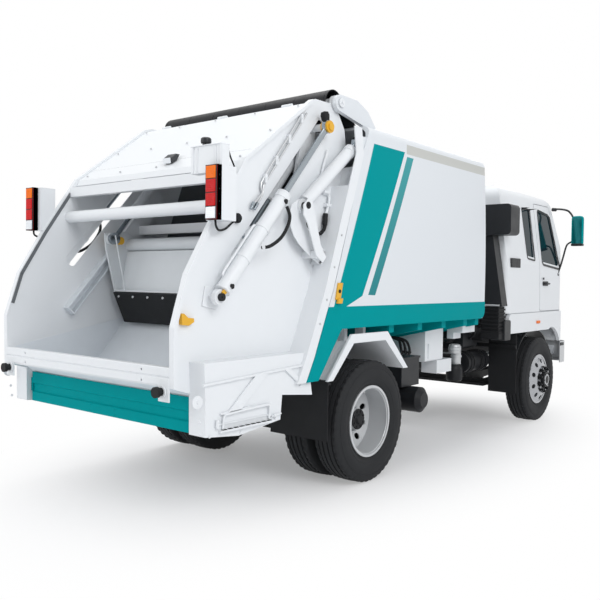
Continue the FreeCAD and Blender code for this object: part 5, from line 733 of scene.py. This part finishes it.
@each_side("tailgate", "grey_rubber")
def plate_edge_strip(mesh):
    """Grey strip in the rear edge of each side plate."""
    for (ax, az), (bx, bz) in zip(EDGE_LINE, EDGE_LINE[1:]):
        length = math.hypot(bx - ax, bz - az)
        nx, nz = (bz - az) / length, (ax - bx) / length
        corners = [(x - nx * depth, z - nz * depth) for x, z, depth in (
            (ax, az, 0.004), (bx, bz, 0.004), (bx, bz, 0.030), (ax, az, 0.030))]
        mesh.prism(corners, 0.9655, 0.960375)


@each_side("tailgate", "white", bevel=0.003)
def side_box_ribs(mesh):
    for outline in (((-1.915, 0.998), (-0.870, 1.046), (-0.870, 1.062), (-1.915, 1.014)),
                    ((-1.435, 1.022), (-1.300, 1.030), (-1.585, 0.800), (-1.700, 0.800)),
                    ((-1.125, 1.040), (-1.060, 1.043), (-0.940, 0.952), (-0.960, 0.920)),
                    ((-1.760, 0.800), (-1.480, 0.812), (-1.480, 0.824), (-1.760, 0.812))):
        mesh.prism(outline, BOX_Y, 1.138)


@each_side("tailgate", "white", smooth=True)
def folding_step(mesh):
    """Folded step with its tube handle, hinge knuckle and spring pin."""
    mesh.sweep([(-1.735, 1.128, 0.705), (-1.735, 1.136, 0.775), (-1.722, 1.138, 0.794),
                (-1.69, 1.138, 0.800), (-1.32, 1.138, 0.812), (-1.292, 1.138, 0.802),
                (-1.285, 1.136, 0.778), (-1.285, 1.130, 0.715)], 0.0085, steps=4)
    mesh.box((-1.770, BOX_Y, 0.686), (-1.262, 1.147, 0.700))
    mesh.box((-1.770, BOX_Y, 0.735), (-1.262, 1.132, 0.742))
    mesh.rod((-1.790, STEP_Y, 0.720), (-1.790, STEP_Y, 0.772), 0.013, 14)
    mesh.rod((-1.240, STEP_Y, 0.725), (-1.215, STEP_Y, 0.725), 0.013, 14)
    mesh.rod((-1.262, STEP_Y, 0.725), (-1.160, STEP_Y, 0.732), 0.006, 10)


@each_side("tailgate", "rubber")
def step_tread(mesh):
    for index in range(9):
        x = -1.745 + index * 0.055
        mesh.box((x, 1.1275, 0.7005), (x + 0.035, 1.1455, 0.7035))


@each_side("tailgate", "white")
def side_box_bolts(mesh):
    for x, z in ((-1.935, 0.900), (-1.935, 0.780), (-1.925, 0.700), (-0.905, 1.020),
                 (-0.930, 0.900), (-1.205, 0.700), (-1.845, 0.672), (-1.560, 0.655)):
        mesh.bolt((x, BOX_Y, z), radius=0.008)


@each_side("tailgate", "white", smooth=True)
def side_box_boss(mesh):
    mesh.lathe([(0.0, 0.042), (0.006, 0.042), (0.008, 0.036), (0.008, 0.012), (0.013, 0.010),
                (0.013, 0.0)], (-1.955, BOX_Y, 0.905), sides=28)


@each_side("tailgate", "yellow", bevel=0.004)
def packing_block(mesh):
    """Yellow stop in the plate's rear corner and the latch of the packing cylinder's pin."""
    mesh.prism([(-1.985, 1.385), (-1.925, 1.378), (-1.880, 1.400), (-1.884, 1.425),
                (-1.930, 1.428), (-1.968, 1.458), (-1.990, 1.452)], PLATE_Y, 1.010)
    mesh.prism(from_foot((0.018, 0.006), (0.075, 0.045), (0.058, 0.078), (0.004, 0.036)),
               1.079, 1.092)


@each_side("tailgate", "white", bevel=0.004)
def packing_plate(mesh):
    mesh.prism(from_foot((-0.075, -0.060), (0.055, -0.085), (0.085, 0.050), (-0.050, 0.075)),
               PLATE_Y, 0.9885)


@each_side("carriage", "yellow", smooth=True)
def rod_eye_cap(mesh):
    for reach, radius in ((1.094, 0.047), (1.108, 0.030)):
        mesh.peg(*PACK_EYE, 1.030, reach, radius, 28)


@each_side("carriage", "rubber", smooth=True)
def rod_stop(mesh):
    mesh.lathe([(0.0, 0.0), (0.004, 0.030), (0.045, 0.036), (0.070, 0.028), (0.078, 0.0)],
               (PACK_EYE[0] - 0.005, 1.050, PACK_EYE[1] + 0.045), (-0.25, 0, 1), 24)


@each_side("tailgate", "silver", smooth=True)
def hydraulic_pipes(mesh):
    """Two pipes side by side down the plate."""
    for gap in (0.0, 0.034):
        nx, nz = along_rail((0, 0), 0, gap)
        mesh.sweep([(-0.742 + nx, 0.996, 2.940 + nz), (-0.960 + nx, 0.996, 2.668 + nz),
                    (-1.190 + nx, 0.996, 2.382 + nz), (-1.222 + nx, 0.996, 2.342 + nz - gap),
                    (-1.228 + nx * 0.4, 0.998, 2.286), (-1.292 - gap * 1.1, 1.0, 2.204)],
                   0.0085, steps=3)


@each_side("tailgate", "white", bevel=0.002)
def pipe_clamps(mesh):
    for along in (0.08, 0.30, 0.52, 0.70):
        x = -0.754 - along * 0.64
        z = 2.950 - along * 0.795
        mesh.box((x - 0.014, PLATE_Y, z - 0.030), (x + 0.012, 1.009, z + 0.034))
        mesh.bolt((x, 1.009, z + 0.004), radius=0.006)


@each_side("tailgate", "chrome", smooth=True)
def pipe_fittings(mesh):
    for gap in (0.0, 0.036):
        mesh.rod((-1.286 - gap, 1.0, 2.214), (-1.302 - gap, 1.0, 2.190), 0.014, 6)
        mesh.rod((-1.300 - gap, 1.0, 2.192), (-1.318 - gap, 1.0, 2.168), 0.011, 12)


@each_side("tailgate", "rubber", smooth=True)
def packing_hoses(mesh):
    """Hose loops to the lower end of the packing cylinder and to the lift cylinder."""
    mesh.sweep([(-1.100, 1.112, 2.200), (-1.073, 1.118, 2.137), (-1.093, 1.120, 2.068),
                (-1.165, 1.120, 1.977), (-1.275, 1.116, 1.912), (-1.352, 1.106, 1.898)], 0.0125)
    mesh.sweep([(-0.775, 1.020, 2.215), (-0.742, 1.022, 2.104), (-0.674, 1.022, 2.047),
                (-0.588, 1.020, 2.039), (-0.522, 1.014, 2.092), (-0.504, 1.008, 2.190)], 0.0145)
    mesh.rod((-0.520, 1.014, 2.110), (-0.503, 1.008, 2.200), 0.020, 14)


@each_side("tailgate", "white", smooth=True)
def feed_pipes(mesh):
    """White pipes up to the hinge and along the packing cylinder, with their clips."""
    mesh.sweep([(-0.503, 1.008, 2.190), (-0.480, 1.006, 2.235), (-0.455, 1.004, 2.300),
                (-0.462, 1.002, 2.360), (-0.530, 0.998, 2.372), (-0.545, 0.996, 2.500),
                (-0.470, 0.996, 2.700)], 0.011)
    for x, z in ((-0.463, 2.270), (-0.500, 2.372), (-0.535, 2.480)):
        mesh.box((x - 0.035, PLATE_Y, z - 0.012), (x + 0.035, 1.020, z + 0.012))
    spots = [along_rail(PACK_FOOT, along, lift) for along, lift in
             ((0.600, 0.060), (0.575, 0.070), (0.350, 0.070), (0.165, 0.070), (0.140, 0.060))]
    mesh.sweep([(x, 1.050, z) for x, z in spots], 0.0085, steps=3)
    mesh.rod((-1.356, 1.118, 1.900), (-1.352, 1.128, 1.902), 0.019, 14)


@each_side("tailgate", "white", bevel=0.004)
def lift_bracket(mesh):
    """Curved cover of the lift cylinder's bracket."""
    mesh.prism([(-1.004, 2.164), (-0.987, 2.067), (-0.955, 2.005), (-0.890, 1.943),
                (-0.810, 1.890), (-0.724, 1.838), (-0.640, 1.800), (-0.600, 1.815),
                (-0.556, 1.885), (-0.612, 1.935), (-0.690, 1.955), (-0.735, 1.985),
                (-0.785, 2.040), (-0.808, 2.100), (-0.815, 2.200), (-0.850, 2.262),
                (-0.915, 2.270), (-0.975, 2.230)], 1.0505, 1.0605)
    mesh.prism([(-0.655, 1.800), (-0.600, 1.800), (-0.545, 1.895), (-0.600, 1.925)],
               0.980, 1.0605)


@each_side("tailgate", "white", smooth=True)
def packing_bands(mesh):
    """Bands round the barrel of the packing cylinder and at its ends."""
    for along, reach, width in ((0.330, 0.0565, 0.030), (0.612, 0.0565, 0.030),
                                (0.055, 0.0555, 0.012), (0.962, 0.0585, 0.012)):
        x, z = along_rail(PACK_FOOT, along)
        mesh.lathe([(0.0, 0.050), (0.0, reach), (width, reach), (width, 0.050)],
                   (x, 1.06, z), (math.cos(RAIL), 0, math.sin(RAIL)), 28)


@each_side("tailgate", "casting", smooth=True)
def packing_ports(mesh):
    for along in (0.10, 0.905):
        x, z = along_rail(PACK_FOOT, along)
        mesh.peg(x, z, 1.105, 1.128, 0.013, 12)
        mesh.rod((x, 1.116, z), (x + 0.012, 1.116, z - 0.016), 0.010, 10)


@each_side("tailgate", "casting", smooth=True)
def tail_pins(mesh):
    """Lower pins of the packing and lift cylinders, with their grease nipples."""
    for (x, z), reach in ((PACK_FOOT, 1.102), ((-0.870, 2.228), 1.130)):
        mesh.peg(x, z, 1.079, reach, 0.026, 20)
        mesh.peg(x, z, reach, reach + 0.005, 0.0078, 8)


@each_side("chassis", "white", smooth=True)
def hinge_caps(mesh):
    mesh.peg(*HINGE, 1.037, 1.046, 0.036)
    mesh.bolt((HINGE[0], 1.046, HINGE[1]), radius=0.012, reach=0.010)


@each_side("chassis", "yellow", bevel=0.003)
def seam_latch(mesh):
    """Yellow latch on the body's rear corner."""
    mesh.prism([(-0.560, 1.530), (-0.500, 1.530), (-0.470, 1.660), (-0.530, 1.660)],
               SEAM_Y, 1.166)
    mesh.prism([(-0.545, 1.500), (-0.490, 1.500), (-0.480, 1.540), (-0.535, 1.540)],
               SEAM_Y, 1.176)


@each_side("chassis", "casting", smooth=True)
def seam_pin(mesh):
    mesh.peg(-0.518, 1.595, SEAM_Y, 1.172, 0.014, 18)


@each_side("tailgate", "silver")
def seam_bolts(mesh):
    for x, z in ((-0.480, 2.03), (-0.570, 1.78), (-0.660, 1.53), (-0.740, 1.35)):
        mesh.bolt((x, 1.1505, z), radius=0.007)


@single("tailgate", "seam")
def hatch_seam(mesh):
    mesh.box((-1.272, -0.955, 2.594), (-1.262, 0.955, 2.602))


@single("tailgate", "dark", bevel=0.004)
def work_lamp(mesh):
    mesh.prism([(-1.345, 2.560), (-1.290, 2.590), (-1.262, 2.640), (-1.300, 2.640),
                (-1.350, 2.600)], -0.160, -0.060)


@single("tailgate", "clear_lens")
def work_lamp_lens(mesh):
    mesh.prism([(-1.352, 2.562), (-1.347, 2.560), (-1.352, 2.600), (-1.357, 2.602)],
               -0.152, -0.068)


@single("tailgate", "silver")
def cover_screws(mesh):
    """Screws in three rows down the sheet over the tailgate."""
    for share in (0.04, 0.50, 0.96):
        x, z = -0.700 - 0.690 * share, 3.0355 - 0.5130 * share
        for y in (-0.90, -0.45, 0.0, 0.45, 0.90):
            mesh.rod((x, y, z - 0.006), (x - 0.004, y, z + 0.004), 0.008, 12)


@single("tailgate", "white", smooth=True)
def cover_hinges(mesh):
    for y in (-0.72, 0.0, 0.72):
        mesh.peg(-0.645, 3.052, y - 0.05, y + 0.05, 0.014, 14)


@single("chassis", "black", smooth=True)
def hood_ribs(mesh):
    """Ribs over the dark hood above the hinge."""
    for index in range(7):
        y = -0.94 + index * 1.88 / 6
        turns = [math.radians(180 - 15 * step) for step in range(13)]
        spots = [(HINGE[0] + 0.1165 * math.cos(turn), y,
                  HINGE[1] - 0.0005 + 0.1128 * math.sin(turn)) for turn in turns]
        for first, last in zip(spots, spots[1:]):
            mesh.rod(first, last, 0.0035, 8)


@single("chassis", "black")
def hood_bolts(mesh):
    for index in range(14):
        mesh.bolt((0.100, -0.90 + index * 1.80 / 13, 2.9665), (0, 0, 1), 0.007, 0.004)


@both_sides("tailgate", "white", smooth=True)
def buffer_collars(mesh):
    """White collars behind the round rubber buffers."""
    mesh.lathe([(0.004, 0.028), (0.004, 0.041), (-0.006, 0.041), (-0.006, 0.028)],
               (-2.0625, 0.908, 0.9622), (1, 0, 0), 28)


# Blade and hopper

PIVOT = (-0.950, 1.970)
BLADE_REACH = 0.692
LEVER = (PIVOT[0] + 0.220 * math.cos(math.radians(168)),
         PIVOT[1] + 0.220 * math.sin(math.radians(168)))


@single("blade", "silver")
def rubber_bolts(mesh):
    strip = skin("blade_rubber")
    for index in range(9):
        mesh.bolt(end_at(strip, -0.78 + index * 0.195, 1.515, -1, 0.001),
                  (-0.905, 0, 0.426), 0.010)


@both_sides("blade", "yellow", smooth=True)
def arm_pins(mesh):
    mesh.peg(-1.098, 2.000, 0.780, 0.868, 0.034)


@both_sides("blade", "yellow", bevel=0.003)
def lever_blocks(mesh):
    x, z = LEVER
    mesh.peg(x, z, 0.868, 0.8665, 0.030)
    mesh.box((x - 0.020, 0.8645, z - 0.055), (x + 0.028, 0.872, z - 0.018))


@both_sides("blade", "white_worn")
def blade_creases(mesh):
    x, z = PIVOT
    mesh.rod((x - 0.392 * BLADE_REACH, 0.70, z + 0.10 * BLADE_REACH),
             (x - 0.236 * BLADE_REACH, 0.70, z - 0.585 * BLADE_REACH), 0.006, 8)


@both_sides("carriage", "white", smooth=True)
def pivot_caps(mesh):
    mesh.peg(*PIVOT, 0.890, 0.8945, 0.040, 28)
    mesh.bolt((PIVOT[0], 0.8945, PIVOT[1]), radius=0.012, reach=0.004)


@single("tailgate", "steel")
def floor_creases(mesh):
    for x, z in ((-1.385, 0.7700), (-1.700, 0.8280)):
        mesh.peg(x, z, -0.960, 0.960, 0.004, 8)


@both_sides("tailgate", "steel")
def wear_plates(mesh):
    mesh.prism([(-1.985, 1.120), (-0.870, 1.330), (-0.905, 1.240), (-1.130, 0.960),
                (-1.400, 0.800), (-1.800, 0.900), (-1.985, 1.060)], 0.9675, 0.9635)


# Cab

DOOR_WINDOW = ((3.786, 1.906), (4.384, 1.858), (4.2016, 2.540), (3.800, 2.586))
QUARTER_WINDOW = ((3.321, 1.967), (3.554, 1.947), (3.554, 2.570), (3.301, 2.570))
SCREEN = ((-1.0005, 1.927), (1.0005, 1.927), (0.897, 2.592), (-0.897, 2.592))
CAB_SIDES = skin("cab_shell", "door_left", "door_right", "door_glass_left", "door_glass_right",
                 "cab_glass")
CAB_ENDS = skin("cab_shell", "cab_glass")


def front(y, z, lift):
    return end_at(CAB_ENDS, y, z, 1, lift)


def rear(y, z, lift):
    return end_at(CAB_ENDS, y, z, -1, lift)


def on_cab(mesh, x, z, lift=0.0):
    return side_at(CAB_SIDES, x, z, mesh.side, lift)


@each_side("door_*", "plastic")
def door_window_seal(mesh):
    mesh.surround(rounded(DOOR_WINDOW, 0.05), lambda x, z, lift: on_cab(mesh, x, z, lift),
                  -0.014, 0.011, 0.005)


@each_side("cab", "plastic")
def quarter_seal(mesh):
    mesh.surround(rounded(QUARTER_WINDOW, 0.03), lambda x, z, lift: on_cab(mesh, x, z, lift),
                  -0.012, 0.008, 0.004)


@single("cab", "plastic")
def window_seals(mesh):
    """Seals of the screen and the rear window."""
    mesh.surround(rounded(SCREEN, 0.05), front, -0.020, 0.014, 0.006)
    mesh.surround(rounded(rect(-0.5175, 2.050, 0.5175, 2.433), 0.05), rear, -0.014, 0.012, 0.006)


@each_side("door_*", "plastic", smooth=True)
def door_handle(mesh):
    x, y, z = on_cab(mesh, 3.86, 1.672, 0.002)
    mesh.prism(rounded(rect(3.785, 1.645, 3.955, 1.700), 0.02), y, y + 0.008)
    mesh.sweep([(3.815, y + 0.004, z), (3.825, y + 0.030, z), (3.930, y + 0.032, z),
                (3.942, y + 0.004, z)], 0.011, steps=4)
    mesh.peg(3.800, z + 0.062, y, y + 0.012, 0.013, 18)


@each_side("cab", "plastic")
def cab_vent(mesh):
    y = on_cab(mesh, 2.94, 1.905)[1]
    mesh.prism(rounded(rect(2.800, 1.852, 3.080, 1.958), 0.012), y, y + 0.007)
    for step in range(5):
        low = 1.866 + step * 0.018
        mesh.box((2.822, y + 0.006, low), (3.058, y + 0.012, low + 0.010))


@each_side("cab", "amber_lens", bevel=0.003)
def side_marker(mesh):
    y = on_cab(mesh, 3.62, 1.205)[1]
    mesh.prism(rounded(rect(3.57, 1.188, 3.67, 1.222), 0.012), y, y + 0.014)


@each_side("cab", "plastic")
def wheel_housing(mesh):
    """Arched liner over the front wheel."""
    turns = [math.radians(32 + 6.2 * step) for step in range(-2, 25)]
    outline = [(WHEELBASE + reach * math.cos(turn), AXLE_Z + reach * math.sin(turn))
               for reach, line in ((0.612, turns), (0.600, turns[::-1])) for turn in line]
    mesh.prism(outline, 0.870, 1.096)


@single("cab", "plastic", smooth=True)
def wipers(mesh):
    """Two wipers, each with a foot, an arm and a blade."""
    for (y, z), (tip_y, tip_z) in (((-0.62, 1.885), (0.02, 2.05)), ((0.28, 1.885), (0.86, 2.05))):
        mesh.sweep([front(y + (tip_y - y) * share, z + (tip_z - z) * share, 0.022)
                    for share in (0.0, 0.35, 0.7, 1.0)], 0.007, sides=8, steps=3)
        mesh.rod(front(y, z, 0.0), front(y, z, 0.034), 0.018)
        mesh.sweep([front(tip_y + gap, tip_z + gap * 0.16, 0.014)
                    for gap in (-0.30, -0.15, 0.0, 0.12)], 0.006, sides=6, steps=3)


@single("cab", "plastic", smooth=True)
def front_grille(mesh):
    for step in range(6):
        mesh.sweep([front(y, 1.395 + step * 0.052, 0.010) for y in (-0.66, -0.33, 0.0, 0.33, 0.66)],
                   0.0095, sides=8, steps=2)
    for y in (-0.66, -0.22, 0.22, 0.66):
        mesh.sweep([front(y, z, 0.009) for z in (1.380, 1.52, 1.672)], 0.008, sides=8, steps=2)


@single("cab", "seam")
def front_seams(mesh):
    for z in (1.800, 1.335):
        mesh.sweep([front(y, z, 0.0005) for y in (-1.05, -0.7, -0.35, 0, 0.35, 0.7, 1.05)],
                   0.0035, sides=6, steps=2)


@each_side("cab", "amber_lens", bevel=0.004)
def front_indicator(mesh):
    x = front(mesh.side * 0.98, 1.43, 0.0)[0]
    mesh.prism(rounded(rect(0.90, 1.375, 1.045, 1.485), 0.02), x - 0.010, x + 0.012, "yz")


@each_side("chassis", "polished", smooth=True)
def headlamp_bowls(mesh):
    for y in (0.725, 0.875):
        mesh.lathe([(0.0, 0.0), (0.003, 0.020), (0.006, 0.046), (0.0015, 0.049)],
                   (4.7935, y, 0.779), (1, 0, 0), 32)


@both_sides("chassis", "plastic", bevel=0.002)
def bumper_strips(mesh):
    """Black pads on the ends of the bumper."""
    y = side_at(skin("front_bumper"), 4.55, 0.88, mesh.side)[1]
    mesh.box((4.475, y, 0.862), (4.600, y + 0.006, 0.900))


@each_side("cab", "plastic", bevel=0.008)
def fender_end(mesh):
    mesh.prism(rounded(rect(2.615, 1.030, 2.785, 1.258), 0.030), 1.000, 1.170)


# Mirrors

MIRROR_X = 4.4945
MIRROR_Y = (1.252, 1.400)
MIRROR_FACE = rounded(rect(MIRROR_Y[0], 2.170, MIRROR_Y[1], 2.550), 0.045)


@each_side("door_*", "teal", replaced="mirror_*", slot="black_plastic", bevel=0.010)
def mirror_head(mesh):
    mesh.prism(MIRROR_FACE, MIRROR_X - 0.030, MIRROR_X + 0.020, "yz")
    mesh.prism(widened(MIRROR_FACE, -0.020), MIRROR_X + 0.018, MIRROR_X + 0.040, "yz")


@each_side("door_*", "mirror", smooth=True)
def mirror_glass(mesh):
    mesh.prism(widened(MIRROR_FACE, -0.014), MIRROR_X - 0.033, MIRROR_X - 0.029, "yz")


@each_side("door_*", "plastic", bevel=0.006)
def mirror_foot(mesh):
    mesh.prism(rounded(rect(MIRROR_Y[0], 2.164, MIRROR_Y[1], 2.196), 0.014),
               MIRROR_X - 0.036, MIRROR_X + 0.030, "yz")


@each_side("door_*", "plastic", smooth=True)
def mirror_arms(mesh):
    """Two curved tubes from the door to the mirror, with their feet."""
    mesh.sweep([(4.190, 1.120, 2.618), (4.260, 1.160, 2.628), (4.420, 1.205, 2.624),
                (4.482, 1.232, 2.592), (MIRROR_X, 1.262, 2.535), (MIRROR_X, 1.268, 2.470)], 0.0125)
    mesh.sweep([(MIRROR_X, 1.285, 2.240), (4.4900, 1.240, 2.214), (4.470, 1.196, 2.170),
                (4.440, 1.168, 2.030), (4.390, 1.150, 1.900), (4.330, 1.130, 1.790)], 0.0115)
    mesh.rod((4.175, 1.105, 2.618), (4.215, 1.138, 2.618), 0.022)
    mesh.rod((4.325, 1.105, 1.775), (4.338, 1.142, 1.803), 0.024)


# Air intake

INTAKE_SIDES = (-1.276, -0.905)
DUCT = (2.500, -1.150, 2.690, -0.930)


@single("cab", "plastic", bevel=0.004)
def intake_lid(mesh):
    mesh.prism(rounded(rect(INTAKE_SIDES[0], 2.212, INTAKE_SIDES[1], 2.528), 0.040), 2.4605, 2.4725, "yz")


@single("cab", "seam", slot="black_plastic")
def intake_slats(mesh):
    for step in range(5):
        z = 2.262 + step * 0.054
        mesh.box((2.4600, INTAKE_SIDES[0] + 0.05, z), (2.4610, INTAKE_SIDES[1] - 0.05, z + 0.022))


@single("cab", "silver", slot="black_plastic", bevel=0.004)
def intake_band(mesh):
    mesh.prism(rect(*DUCT), 1.4185, 1.436, "xy")


@single("chassis", "rubber", bevel=0.003)
def intake_bellows(mesh):
    """Folded rubber between the cab's duct and the air cleaner, with its foot and elbow."""
    for step in range(14):
        z = 1.118 + step * 0.0208
        fold = 0.015 if step % 2 else 0.005
        mesh.prism(rect(DUCT[0] + fold, DUCT[1] + fold, DUCT[2] - fold, DUCT[3] - fold),
                   z, z + 0.0205, "xy")
    mesh.prism(rect(*DUCT), 1.050, 1.118, "xy")
    mesh.rod((2.595, -0.935, 1.090), (2.595, -0.800, 1.090), 0.075, 24)


# Chassis

FILTER = (2.150, -0.799)


@single("chassis", "silver", smooth=True)
def filter_cap(mesh):
    mesh.lathe([(0.0, 0.062), (0.030, 0.0635), (0.034, 0.070), (0.060, 0.070), (0.066, 0.064),
                (0.090, 0.060), (0.096, 0.046), (0.096, 0.0)], (*FILTER, 0.905), (0, 0, 1), 36)


@single("chassis", "black", smooth=True)
def filter_bowl(mesh):
    mesh.lathe([(0.0, 0.0), (0.0, 0.072), (0.016, 0.088), (0.130, 0.090), (0.165, 0.080),
                (0.185, 0.064), (0.185, 0.058)], (*FILTER, 0.600), (0, 0, 1), 36)


@single("chassis", "white", bevel=0.006)
def valve_block(mesh):
    mesh.box((1.960, -0.985, 1.140), (2.250, -0.800, 1.285))
    mesh.box((1.960, -0.880, 1.072), (2.130, -0.800, 1.142))


@single("chassis", "white", bevel=0.003)
def oil_tank_lid(mesh):
    """Lid, bolts, filler and level tube of the oil tank."""
    mesh.box((1.366, -0.872, 1.236), (1.822, -0.418, 1.252))
    for x in (1.400, 1.590, 1.780):
        mesh.bolt((x, -0.8655, 1.205), (0, -1, 0))
    mesh.rod((1.520, -0.560, 1.250), (1.520, -0.560, 1.285), 0.045, 28)
    mesh.rod((1.440, -0.866, 0.900), (1.440, -0.872, 1.050), 0.010, 12)


@single("chassis", "rubber", smooth=True)
def hydraulic_hoses(mesh):
    """Three hoses under the valve block, three under the tank and one behind the block."""
    for gap in (0.0, 0.040, 0.080):
        mesh.sweep([(1.990 + gap, -0.830, 1.075), (2.010 + gap, -0.790, 1.030),
                    (2.080 + gap, -0.700, 1.045), (2.200 + gap, -0.620, 1.030),
                    (2.330 + gap * 0.5, -0.560, 1.000), (2.420, -0.520, 0.980)], 0.0115)
        mesh.sweep([(1.370, -0.700 + gap, 0.960), (1.310, -0.720 + gap, 0.950),
                    (1.250 - gap * 0.4, -0.760 + gap, 1.010), (1.200, -0.740 + gap, 1.090),
                    (1.140, -0.640 + gap, 1.120)], 0.0125)
    mesh.sweep([(2.245, -0.930, 1.210), (2.330, -0.935, 1.190), (2.420, -0.900, 1.110),
                (2.470, -0.820, 1.050), (2.520, -0.760, 1.020)], 0.014)


@single("chassis", "casting", smooth=True)
def silencer_rings(mesh):
    for x in (2.420, 2.460, 2.640, 2.680):
        mesh.lathe([(0.0, 0.119), (0.0, 0.1265), (0.016, 0.1265), (0.016, 0.119)],
                   (x, -0.770, 0.780), (1, 0, 0), 36)


@both_sides("chassis", "black", smooth=True)
def brake_chambers(mesh):
    mesh.lathe([(0.0, 0.0), (0.0, 0.070), (0.020, 0.082), (0.066, 0.084), (0.070, 0.092),
                (0.080, 0.092), (0.084, 0.084), (0.150, 0.080), (0.185, 0.055), (0.190, 0.0)],
               (0.300, 0.370, 0.560), (1, 0, 0.15), 32)


# Floor, light and camera


def seen(tree):
    """1 for rays from the camera and for those that metal and glass send on."""
    path = add(tree, "ShaderNodeLightPath").outputs
    direct = maths(tree, "MAXIMUM", path["Is Camera Ray"], path["Is Glossy Ray"])
    return maths(tree, "MAXIMUM", direct, path["Is Transmission Ray"])


def floor_material():
    """Pale floor that keeps the shadow near the vehicle and turns white farther out."""
    material, tree, shader = new_material("floor")
    set_inputs(tree, shader, {
        "Base Color": tinted(tree, (240, 240, 242), grain(tree, 1.5), 0.004), "Roughness": 0.9,
        "Specular IOR Level": 0.1})
    white = add(tree, "ShaderNodeEmission", Strength=1.0)
    oval = add(tree, "ShaderNodeVectorMath", operation="MULTIPLY")
    feed(tree, oval.inputs[0], add(tree, "ShaderNodeNewGeometry").outputs["Position"])
    feed(tree, oval.inputs[1], (0.5, 1.0, 0.0))
    reach = add(tree, "ShaderNodeVectorMath", operation="LENGTH")
    feed(tree, reach.inputs[0], oval.outputs[0])
    fade = add(tree, "ShaderNodeMapRange", interpolation_type="SMOOTHSTEP", From_Min=0.9,
               From_Max=2.5, To_Min=0.25, Value=reach.outputs["Value"]).outputs["Result"]
    share = maths(tree, "MULTIPLY", fade, seen(tree))
    mix_shaders(tree, share, shader.outputs[0], white.outputs[0], "Material Output")
    return material


def build_stage():
    data = bpy.data.meshes.new("floor")
    reach = 60.0
    data.from_pydata([(*spot, 0) for spot in rect(-reach, -reach, reach, reach)], [],
                     [(0, 1, 2, 3)])
    data.materials.append(floor_material())
    put("floor", data)


def area_light(name, place, target, size, power):
    light = bpy.data.lights.new(name, "AREA")
    light.shape = "RECTANGLE"
    light.size, light.size_y = size
    light.energy = power
    lamp = put(name, light)
    lamp.location = place
    lamp.rotation_mode = "QUATERNION"
    lamp.rotation_quaternion = (Vector(target) - Vector(place)).to_track_quat("-Z", "Y")


def build_light():
    """A pale room that looks white to the camera, and four soft lights."""
    world = bpy.data.worlds.new("studio")
    bpy.context.scene.world = world
    world.use_nodes = True
    tree = world.node_tree
    back = tree.nodes["Background"]
    set_inputs(tree, back, {"Color": (0.97, 0.985, 1.0, 1.0), "Strength": 0.62})
    plain = add(tree, "ShaderNodeBackground", Color=(1, 1, 1, 1), Strength=1.0)
    mix_shaders(tree, seen(tree), back.outputs[0], plain.outputs[0], "World Output")
    area_light("key", (-5.0, -9.0, 6.5), (0, 0, 1.2), (5, 5), 430)
    area_light("fill", (-9.0, 3.0, 4.0), (0, 0, 1.2), (5, 4), 150)
    area_light("top", (0.5, 1.0, 9.5), (0, 0, 1.0), (9, 5), 330)
    area_light("front", (9.0, 4.0, 5.0), (1.5, 0, 1.2), (5, 4), 220)


CAMERA_PLACE = at(-5.0588, -4.4414, 1.6797)
YAW, PITCH, ROLL = 0.6794, -0.0279, 0.0134


def build_camera():
    data = bpy.data.cameras.new("camera")
    data.lens = 43.46
    data.sensor_width = 36.0
    data.clip_start = 0.05
    data.clip_end = 300.0
    camera = put("camera", data)
    ahead = Vector((math.cos(YAW) * math.cos(PITCH), math.sin(YAW) * math.cos(PITCH),
                    math.sin(PITCH)))
    level = Vector((math.sin(YAW), -math.cos(YAW), 0))
    above = level.cross(ahead)
    right = level * math.cos(ROLL) + above * math.sin(ROLL)
    up = above * math.cos(ROLL) - level * math.sin(ROLL)
    turn = Matrix((right, up, -ahead)).transposed()
    camera.matrix_world = Matrix.Translation(CAMERA_PLACE) @ turn.to_4x4()
    bpy.context.scene.camera = camera


build_stage()
build_light()
build_camera()

scene = bpy.context.scene
scene.view_settings.view_transform = "Standard"
scene.view_settings.look = "None"
